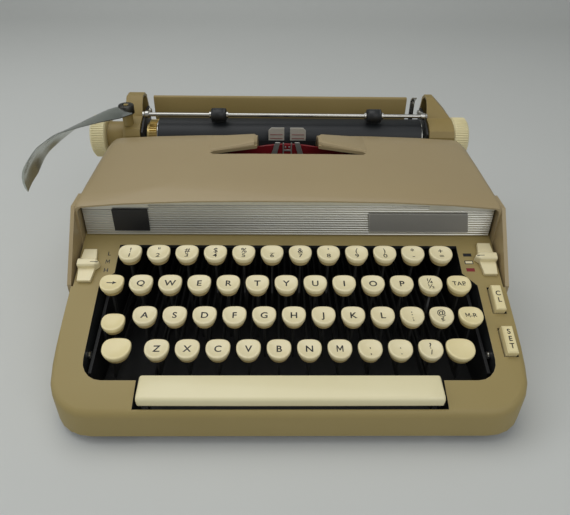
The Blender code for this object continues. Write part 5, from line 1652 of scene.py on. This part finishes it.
    def marks(self, bench: Bench) -> None:
        """Print the touch letters on the left arm and the colour marks on the right one.

        Args:
            bench: Maker of the pieces.
        """
        shape = Shape()
        for letter, y in self.touch_letters:
            line = lettering(letter, self.touch_letter)
            settle = self.settle(self.letter_x, y, self.ink)
            for vert in line.verts:
                vert.co = settle @ vert.co
            shape.add(line, 0)
        for y, above, finish, half, reach in self.colour_marks:
            settle = self.settle(self.mark_x, y, above)
            corners = ((-half, -reach), (half, -reach), (half, reach), (-half, reach))
            shape.loft(
                [[settle @ Vector((*corner, z)) for corner in corners] for z in (-0.3, 0.03)],
                finish
            )
        bench.piece(
            "arm_marks", shape.mesh, (Finishes.INK, Finishes.RED, Finishes.CAP), "frame", (),
        )


@dataclass(frozen=True)
class Carriage:
    """Platen with its knobs, wheel and bail, the end covers, table and levers, in machine mm.

    Attributes:
        flutes: Flutes round a knob.
        flute: Radius of a flute's ridge.
        teeth: Teeth of the line space wheel.
        bail_pivot: Pivot of the bail, along y and in height.
        bail_rod: Distance of the bail's rod from the piece's front and top.
        rollers: Places of the bail's rollers, from its middle.
        hub: Radius of the return lever's hub.
        hub_foot: Distance of the hub's foot below the end cover's top.
        blade: Widths of the return lever's blade at its root and at its end.
        twist: Degrees by which the blade leans over at its root and at its end.
        crown: Height of the blade's crown across its width.
        blade_path: The blade's middle line from the hub.
    """

    flutes: int = 56
    flute: float = 0.62
    teeth: int = 40
    bail_pivot: tuple[float, float] = (240.0, 106.0)
    bail_rod: float = 6
    rollers: tuple[float, float] = (-57.6, 76.8)
    hub: float = 6.5
    hub_foot: float = 7.7
    blade: tuple[float, float] = (15.0, 21.0)
    twist: tuple[float, float] = (-13.0, 78.0)
    crown: float = 2.8
    blade_path: tuple = (
        (0, 0, 0), (-8.5, -11, 0.4), (-17.5, -25.5, 1.2), (-25.5, -42, 2.0), (-32.5, -59, 2.4),
        (-38.5, -76, 2.2), (-40.5, -95, 1.0), (-41, -113, -0.4), (-40, -126, -1.4),
    )

    def build(self, bench: Bench, pattern: Pattern) -> None:
        """Make every piece of the carriage.

        Args:
            bench: Maker of the pieces.
            pattern: Tree that repeats an element.
        """
        Refined("carriage_frame", "carriage", Finishes.LEVER, "dark_steel", 0.3).build(bench)
        for side in ("left", "right"):
            cover = Refined(
                "end_cover_" + side, "carriage", Finishes.BRONZE, "bronze_paint", 1.3, 24.0
            )
            cover.build(bench)
        Refined("paper_table", "carriage", Finishes.BRONZE, "bronze_paint", 0.5).build(bench)
        release = Refined(
            "paper_release_lever", "paper_release", Finishes.CHROME, "bright_steel", 0.3
        )
        release.build(bench)
        self.platen(bench)
        self.wheel(bench, pattern)
        self.knob(bench, pattern, "left", 1)
        self.knob(bench, pattern, "right", -1)
        self.bail(bench)
        self.return_lever(bench)

    def axle(self, bench: Bench) -> tuple[float, float]:
        """Return the platen's axis, along y and in height."""
        low, high = bench.span("platen")
        return (low.y + high.y) / 2, (low.z + high.z) / 2

    def platen(self, bench: Bench) -> None:
        """Make the rubber roller with its steel end discs on its shaft.

        Args:
            bench: Maker of the pieces.
        """
        low, high = bench.span("platen")
        wheel = bench.span("line_space_wheel")
        radius = (high.z - low.z) / 2
        left, right = wheel[1].x + 0.3, bench.span("carriage_frame")[1].x - 5
        axle = self.axle(bench)
        shape = Shape()
        profile = [
            (left + 0.6, 3.5), (left + 0.6, radius - 0.9), (left + 1.2, radius),
            (right - 1.2, radius), (right - 0.6, radius - 0.9), (right - 0.6, 3.5),
        ]
        shape.turned(profile, "x", axle, 72, 0)
        for start, end in ((left, left + 0.55), (right - 0.55, right)):
            disc = [(start, 3.0), (start, radius - 1.6), (end, radius - 1.6), (end, 3.0)]
            shape.turned(disc, "x", axle, 48, 1)
        shaft = [(low.x, 0.4), (low.x + 0.3, 2.9), (high.x - 0.3, 2.9), (high.x, 0.4)]
        shape.turned(shaft, "x", axle, 24, 1)
        bench.piece(
            "platen_dressed", shape.mesh, (Finishes.RUBBER, Finishes.CHROME), "platen", ("platen",),
        )

    def wheel(self, bench: Bench, pattern: Pattern) -> None:
        """Make the toothed wheel: a drum with its teeth and a smooth flange.

        Args:
            bench: Maker of the pieces.
            pattern: Tree that repeats an element.
        """
        low, high = bench.span("line_space_wheel")
        radius = (high.z - low.z) / 2
        axle = self.axle(bench)
        shape = Shape()
        profile = [
            (low.x, 3.4), (low.x, radius - 3.2), (low.x + 0.6, radius - 2.6),
            (low.x + 2.4, radius - 2.6), (low.x + 2.5, radius - 1.5),
            (high.x - 0.5, radius - 1.5), (high.x, radius - 2.0), (high.x, 3.4),
        ]
        shape.turned(profile, "x", axle, 48)
        pitch = math.tau / self.teeth
        tooth = Shape()
        outline = [
            (radius - 1.6, -0.75), (radius - 0.2, -0.2), (radius - 0.2, 0.2), (radius - 1.6, 0.75)
        ]
        tooth.prism(outline, "x", low.x + 2.7, high.x - 0.7)
        teeth = pattern.repeat(tooth, self.teeth, Finishes.GOLD, turn=(pitch, 0, 0))
        bmesh.ops.translate(teeth, vec=(0, *axle), verts=teeth.verts[:])
        shape.add(teeth, 0)
        bench.piece(
            "line_space_wheel_dressed", shape.mesh, (Finishes.GOLD,), "platen",
            ("line_space_wheel",)
        )

    def knob(self, bench: Bench, pattern: Pattern, side: str, inward: int) -> None:
        """Make one knob with its crowned face and its fine flutes.

        Args:
            bench: Maker of the pieces.
            pattern: Tree that repeats an element.
            side: Left or right.
            inward: 1 for the left knob, -1 for the right one.
        """
        node = "platen_knob_" + side
        low, high = bench.span(node)
        radius = (high.z - low.z) / 2 - 0.4
        axle = self.axle(bench)
        outer = low.x if inward > 0 else high.x
        width = high.x - low.x
        shape = Shape()
        stations = (
            (0.0, 0.3), (0.0, radius - 7.5), (0.9, radius - 7.0), (0.9, radius - 4.6),
            (0.2, radius - 4.0), (0.2, radius - 2.0), (1.6, radius - 0.4), (width - 1.4, radius),
            (width - 0.3, radius - 0.9), (width, radius - 3), (width, 3.4),
        )
        shape.turned([(outer + inward * along, reach) for along, reach in stations], "x", axle, 64)
        ridge = Shape()
        ends = sorted((outer + inward * 1.9, outer + inward * (width - 1.0)))
        ridge.prism(arc((radius - 0.25, 0), self.flute, -90, 90, 4), "x", *ends)
        ridges = pattern.repeat(
            ridge, self.flutes, Finishes.KNOB, turn=(math.tau / self.flutes, 0, 0)
        )
        bmesh.ops.translate(ridges, vec=(0, *axle), verts=ridges.verts[:])
        shape.add(ridges, 0)
        bench.piece(
            node + "_dressed", shape.mesh, (Finishes.KNOB,), "platen", (node,)
        )

    def bail(self, bench: Bench) -> None:
        """Make the bail: a bright rod, two black rollers with their collars and the arms.

        Args:
            bench: Maker of the pieces.
        """
        low, high = bench.span("paper_bail")
        rod_axis = (low.y + self.bail_rod, high.z - self.bail_rod)
        shape = Shape()
        ends = (low.x + 0.3, high.x - 0.3)
        rod = [
            (ends[0], 0.3), (ends[0], 1.3), (ends[0] + 0.4, 1.7),
            (ends[1] - 0.4, 1.7), (ends[1], 1.3), (ends[1], 0.3),
        ]
        shape.turned(rod, "x", rod_axis, 20, 0)
        middle = (ends[0] + ends[1]) / 2
        for x in (middle + place for place in self.rollers):
            roller = [
                (-6.4, 2.0), (-6.4, 5.0), (-5.6, 5.8), (-4.9, 5.8), (-4.6, 5.4), (-4.2, 5.8),
                (4.2, 5.8), (4.6, 5.4), (4.9, 5.8), (5.6, 5.8), (6.4, 5.0), (6.4, 2.0),
            ]
            shape.turned([(x + along, radius) for along, radius in roller], "x", rod_axis, 36, 1)
            for side in (-1, 1):
                collar = [
                    (x + side * along, radius)
                    for along, radius in ((6.5, 1.8), (6.5, 2.9), (8.1, 2.9), (8.1, 1.8))
                ]
                shape.turned(collar, "x", rod_axis, 20, 0)
        for end, inward in ((low.x, 1), (high.x, -1)):
            head = [(0.1, 0.3), (0.1, 3.4), (1.6, 3.4), (2.3, 2.6), (2.5, 0.3)]
            cap = [(end + inward * along, reach) for along, reach in head]
            shape.turned(cap, "x", self.bail_pivot, 20, 0)
            ring = [(1.8, 1.8), (1.8, 2.7), (2.3, 3.1), (5.0, 3.1), (5.5, 2.7), (5.5, 1.8)]
            collar = [(end + inward * along, reach) for along, reach in ring]
            shape.turned(collar, "x", rod_axis, 20, 0)
        arms = bench.copy("paper_bail")
        gone = [
            face for face in arms.faces
            if low.x + 1.35 < face.calc_center_median().x < high.x - 1.35
        ]
        bmesh.ops.delete(arms, geom=gone, context="FACES")
        bmesh.ops.holes_fill(arms, edges=[edge for edge in arms.edges if edge.is_boundary], sides=0)
        shape.add(arms, 0)
        bench.piece(
            "paper_bail_dressed", shape.mesh, (Finishes.CHROME, Finishes.ROLLER), "bail",
            ("paper_bail",)
        )

    def return_lever(self, bench: Bench) -> None:
        """Make the return lever: a hub with its screw and a crowned, twisted blade.

        Args:
            bench: Maker of the pieces.
        """
        high = bench.span("return_lever")[1]
        hub_x = high.x - self.hub
        hub_y = high.y - self.hub
        base = bench.span("end_cover_left")[1].z - self.hub_foot
        shape = Shape()
        profile = [
            (base, 2.4), (base, 6.1), (base + 0.4, self.hub), (base + 6.9, self.hub),
            (base + 7.4, 6.0), (base + 7.5, 3.4), (base + 7.1, 3.1), (base + 7.1, 2.4),
        ]
        shape.turned(profile, "z", (hub_x, hub_y), 32, 1)
        middle = base + 3.9
        path = smooth_line(
            [Vector((hub_x + x, hub_y + y, middle + z)) for x, y, z in self.blade_path], 5
        )
        rings = []
        for index, point in enumerate(path):
            share = index / (len(path) - 1)
            ahead = (path[min(index + 1, len(path) - 1)] - path[max(index - 1, 0)]).normalized()
            beside = Vector((-ahead.y, ahead.x, 0)).normalized()
            lean = min(max((share - 0.12) / 0.68, 0.0), 1.0)
            twist = math.radians(self.twist[0] + (self.twist[1] - self.twist[0]) * lean)
            across = beside * math.cos(twist) + Vector((0, 0, 1)) * math.sin(twist)
            normal = ahead.cross(across)
            width = self.blade[0] + (self.blade[1] - self.blade[0]) * share
            ring = []
            for face in (-1, 1):
                for place in (-1, -0.75, -0.4, 0, 0.4, 0.75, 1):
                    side = place * -face
                    crown = self.crown * (0.5 - side**2)
                    edge = 0.7 if abs(side) < 1 else 0.3
                    ring.append(
                        point + across * (side * width / 2) + normal * (crown + face * edge)
                    )
            rings.append(ring)
        shape.loft(rings)
        bench.piece(
            "return_lever_dressed", shape.mesh, (Finishes.LEVER_CHROME, Finishes.STEEL),
            "return_lever", ("return_lever",), 0.0, 50.0,
        )


@dataclass(frozen=True)
class TypeWorks:
    """Basket, guard, vibrator, card guides, ribbon and spools behind the opening, in machine mm.

    Attributes:
        typebars: Number of typebars.
        basket: Middle of the segment, along y and in height.
        radius: Radius of the segment's middle.
        tilt: Degrees by which the segment leans.
        start: Degrees from the side at which the fan begins.
        bar: Length of a typebar.
        spread: Share by which the bars spread outward.
        guard_drop: Drop of the guard's ends below the CAD's top.
        guard_rise: Rise of its arch above the ends.
        arch_steps: Steps along the arch.
        post: Half the distance between the bracket's posts.
        slug_steps: Reach along the bar, half width and half height of a slug's sections.
        line_drop: Drop of the card guides' lower red line below their top.
        line_step: Distance between their two red lines.
        ribbon_half: Half the length of the stretched ribbon; not used.
        ribbon_width: Width of the ribbon; not used.
        flange: Thickness of a spool's flange.
        wound: Distance of the wound ribbon from the flange's rim.
    """

    typebars: int = 44
    basket: tuple[float, float] = (170.0, 80.0)
    radius: float = 30.0
    tilt: float = 30.0
    start: float = 18.0
    bar: float = 56.0
    spread: float = 0.53
    guard_drop: float = 5.0
    guard_rise: float = 11.0
    arch_steps: int = 24
    post: float = 3.4
    slug_steps: tuple = ((0, 0.9, 2.4), (1.2, 1.5, 3.2), (5.0, 1.5, 3.2), (5.6, 1.2, 2.8))
    line_drop: float = 9.6
    line_step: float = 3.4
    ribbon_half: float = 125.0
    ribbon_width: float = 12.4
    flange: float = 1.0
    wound: float = 5

    def build(self, bench: Bench, pattern: Pattern) -> None:
        """Make the writing mechanism.

        Args:
            bench: Maker of the pieces.
            pattern: Tree that repeats an element.
        """
        self.fan(bench)
        self.guard(bench)
        self.vibrator(bench)
        self.bracket(bench)
        self.cards(bench, pattern)
        self.ribbon(bench)
        for side in ("left", "right"):
            self.spool(bench, "ribbon_spool_" + side, "spool_" + side)

    def fan(self, bench: Bench) -> None:
        """Make the segment with its typebars, and put a type slug on the head of each bar.

        Args:
            bench: Maker of the pieces.
        """
        shape = Shape()
        carrier = bench.copy("typebar_basket")
        shape.add(carrier, 0)
        tilt = math.radians(self.tilt)
        across = Vector((1, 0, 0))
        down = Vector((0, -math.sin(tilt), -math.cos(tilt)))
        forward = Vector((0, -math.cos(tilt), math.sin(tilt)))
        centre = Vector((0, *self.basket))
        lean = math.sqrt(1 - self.spread**2)
        first = math.radians(self.start)
        for index in range(self.typebars):
            turn = first + (math.pi - 2 * first) * index / (self.typebars - 1)
            outward = across * math.cos(turn) + down * math.sin(turn)
            beside = across * -math.sin(turn) + down * math.cos(turn)
            along = forward * lean + outward * self.spread
            over = along.cross(beside)
            head = centre + outward * self.radius + along * (self.bar - 4)
            rings = []
            for reach, half, rise in self.slug_steps:
                corners = ((-1, -1), (1, -1), (1, 1), (-1, 1))
                rings.append(
                    [
                        head + along * reach + beside * (a * half) + over * (b * rise)
                        for a, b in corners
                    ]
                )
            shape.loft(rings, 1)
        bench.piece(
            "typebar_basket_dressed", shape.mesh, (Finishes.STEEL, Finishes.CHROME), "basket",
            ("typebar_basket",),
        )

    def guard(self, bench: Bench) -> None:
        """Make the red guard, its upper edge an arch.

        Args:
            bench: Maker of the pieces.
        """
        low, high = bench.span("type_guard")
        outline = []
        for step in range(self.arch_steps + 1):
            across = 2 * step / self.arch_steps - 1
            rise = self.guard_rise * (1 - abs(across) ** 1.7)
            outline.append((across * high.x, high.z - self.guard_drop + rise))
        outline += [(high.x, low.z), (low.x, low.z)]
        shape = Shape()
        shape.prism(outline, "y", low.y, high.y)
        bench.piece(
            "type_guard_dressed", shape.mesh, (Finishes.RED,), "frame", ("type_guard",),
            0.3
        )

    def bracket(self, bench: Bench) -> None:
        """Make the small pinned bracket on the guard between the ribbon arms.

        Args:
            bench: Maker of the pieces.
        """
        front = bench.span("type_guard")[0].y
        shape = Shape()
        for side in (-1, 1):
            x = side * self.post
            shape.box((x - 0.55, front - 0.9, 88), (x + 0.55, front + 0.2, 100.4))
            pin = [(front - 1.3, 0.1), (front - 1.2, 0.7), (front - 0.2, 0.7), (front + 0.1, 0.1)]
            shape.turned(pin, "y", (side * 1.6, 96.6), 14)
        for foot, top in ((93.0, 94.4), (88.2, 89.4)):
            shape.box((-self.post, front - 0.8, foot), (self.post, front + 0.1, top))
        bench.piece(
            "guard_bracket", shape.mesh, (Finishes.NICKEL,), "frame", (), 0.15
        )

    def vibrator(self, bench: Bench) -> None:
        """Make the two bright arms that lift the ribbon, with their hooks.

        Args:
            bench: Maker of the pieces.
        """
        shape = Shape()
        shape.add(bench.copy("ribbon_vibrator"), 0)
        bench.piece(
            "ribbon_vibrator_dressed", shape.mesh, (Finishes.NICKEL,), "vibrator",
            ("ribbon_vibrator",), 0.25,
        )

    def cards(self, bench: Bench, pattern: Pattern) -> None:
        """Make the clear card guides and their red lines.

        Args:
            bench: Maker of the pieces.
            pattern: Tree that repeats an element.
        """
        high = bench.span("card_guides")[1]
        shape = Shape()
        shape.add(bench.copy("card_guides"), 0)
        bench.piece(
            "card_guides_dressed", shape.mesh, (Finishes.CLEAR,), "frame", ("card_guides",),
            0.3
        )
        marks = Shape()
        face = high.y - 1.35
        for side in (-1, 1):
            line = Shape()
            ends = sorted((side * 4.0, side * (high.x - 1.5)))
            foot = high.z - self.line_drop
            line.box((ends[0], face - 0.15, foot), (ends[1], face + 0.1, foot + 0.4))
            marks.add(pattern.repeat(line, 2, Finishes.RED, step=(0, 0, self.line_step)), 0)
        bench.piece("card_lines", marks.mesh, (Finishes.RED,), "frame", ())

    def ribbon(self, bench: Bench) -> None:
        """Make the woven ribbon, stretched between the two spools.

        Args:
            bench: Maker of the pieces.
        """
        shape = bench.copy("ribbon")
        for face in shape.faces:
            face.material_index = 0
        made = bench.piece(
            "ribbon_dressed", shape, (Finishes.RIBBON,), "frame", ("ribbon",)
        )

    def spool(self, bench: Bench, node: str, body: str) -> None:
        """Make a spool: two plain flanges and the wound ribbon between them.

        Args:
            bench: Maker of the pieces.
            node: CAD node that it stands for.
            body: CAD body that carries it.
        """
        low, high = bench.span(node)
        centre = ((low.x + high.x) / 2, (low.y + high.y) / 2)
        radius = (high.x - low.x) / 2
        shape = Shape()
        for start in (low.z, high.z - self.flange):
            end = start + self.flange
            profile = [
                (start, 3.4), (start, radius - 0.4), (start + self.flange / 2, radius),
                (end, radius - 0.4), (end, 3.4),
            ]
            shape.turned(profile, "z", centre, 48, 0)
        foot, top = low.z + 1.1, high.z - 1.1
        rim = radius - self.wound
        pack = [(foot, 3.6), (foot, rim), (top, rim), (top, 3.6)]
        shape.turned(pack, "z", centre, 48, 1)
        bench.piece(
            node + "_dressed", shape.mesh, (Finishes.CHROME, Finishes.RIBBON), body, (node,),
        )


@dataclass(frozen=True)
class Underframe:
    """Blackened pan with its feet, side plates and the rail."""

    def build(self, bench: Bench) -> None:
        """Make the frame that carries everything."""
        Refined("base_frame", "frame", Finishes.PAN, "dark_steel", 0.3).build(bench)
        Refined("carriage_rail", "frame", Finishes.STEEL, "bright_steel", 0.3).build(bench)


def dress_nodes(frame: dict) -> None:
    """Give every CAD node that stays in sight or is replaced a finish of its own.
    """
    kinds = {
        "tan_enamel": Finishes.COVER,
        "cream_plastic": Finishes.CAP,
        "pale_cream_plastic": Finishes.SIDE_CAP,
        "dark_steel": Finishes.LEVER,
        "bright_steel": Finishes.CHROME,
        "brushed_aluminium": Finishes.TRIM,
        "red_paint": Finishes.RED,
        "black_rubber": Finishes.RUBBER,
        "inked_fabric": Finishes.RIBBON,
        "gold_metal": Finishes.GOLD,
        "clear_plastic": Finishes.CLEAR,
        "bronze_paint": Finishes.BRONZE,
    }
    slots = {part["node"]: part["material_slot"] for part in frame["record"]["subparts"]}
    for name, node in frame["nodes"].items():
        node.data.materials.clear()
        node.data.materials.append(kinds[slots[name]].material())
        for face in node.data.polygons:
            face.material_index = 0


def main() -> None:
    """Build every sub-assembly in order and finish the scene."""
    logging.basicConfig(level=logging.INFO, format="%(name)s: %(message)s")
    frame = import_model()
    low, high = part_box("carriage_rail")
    origin = Vector(((low.x + high.x) / 2, low.y - RAIL_FRONT * MM, 0))
    studio = Studio()
    studio.camera(origin)
    studio.floor(origin)
    studio.lamps(origin)
    dress_nodes(frame)
    bench = Bench(frame, origin)
    pattern = Pattern()
    Casing().build(bench, pattern)
    Keyboard().build(bench)
    SideKeys().build(bench)
    SpaceBar().build(bench)
    ArmControls().build(bench)
    Carriage().build(bench, pattern)
    TypeWorks().build(bench, pattern)
    Underframe().build(bench)


if __name__ == "__main__":
    main()
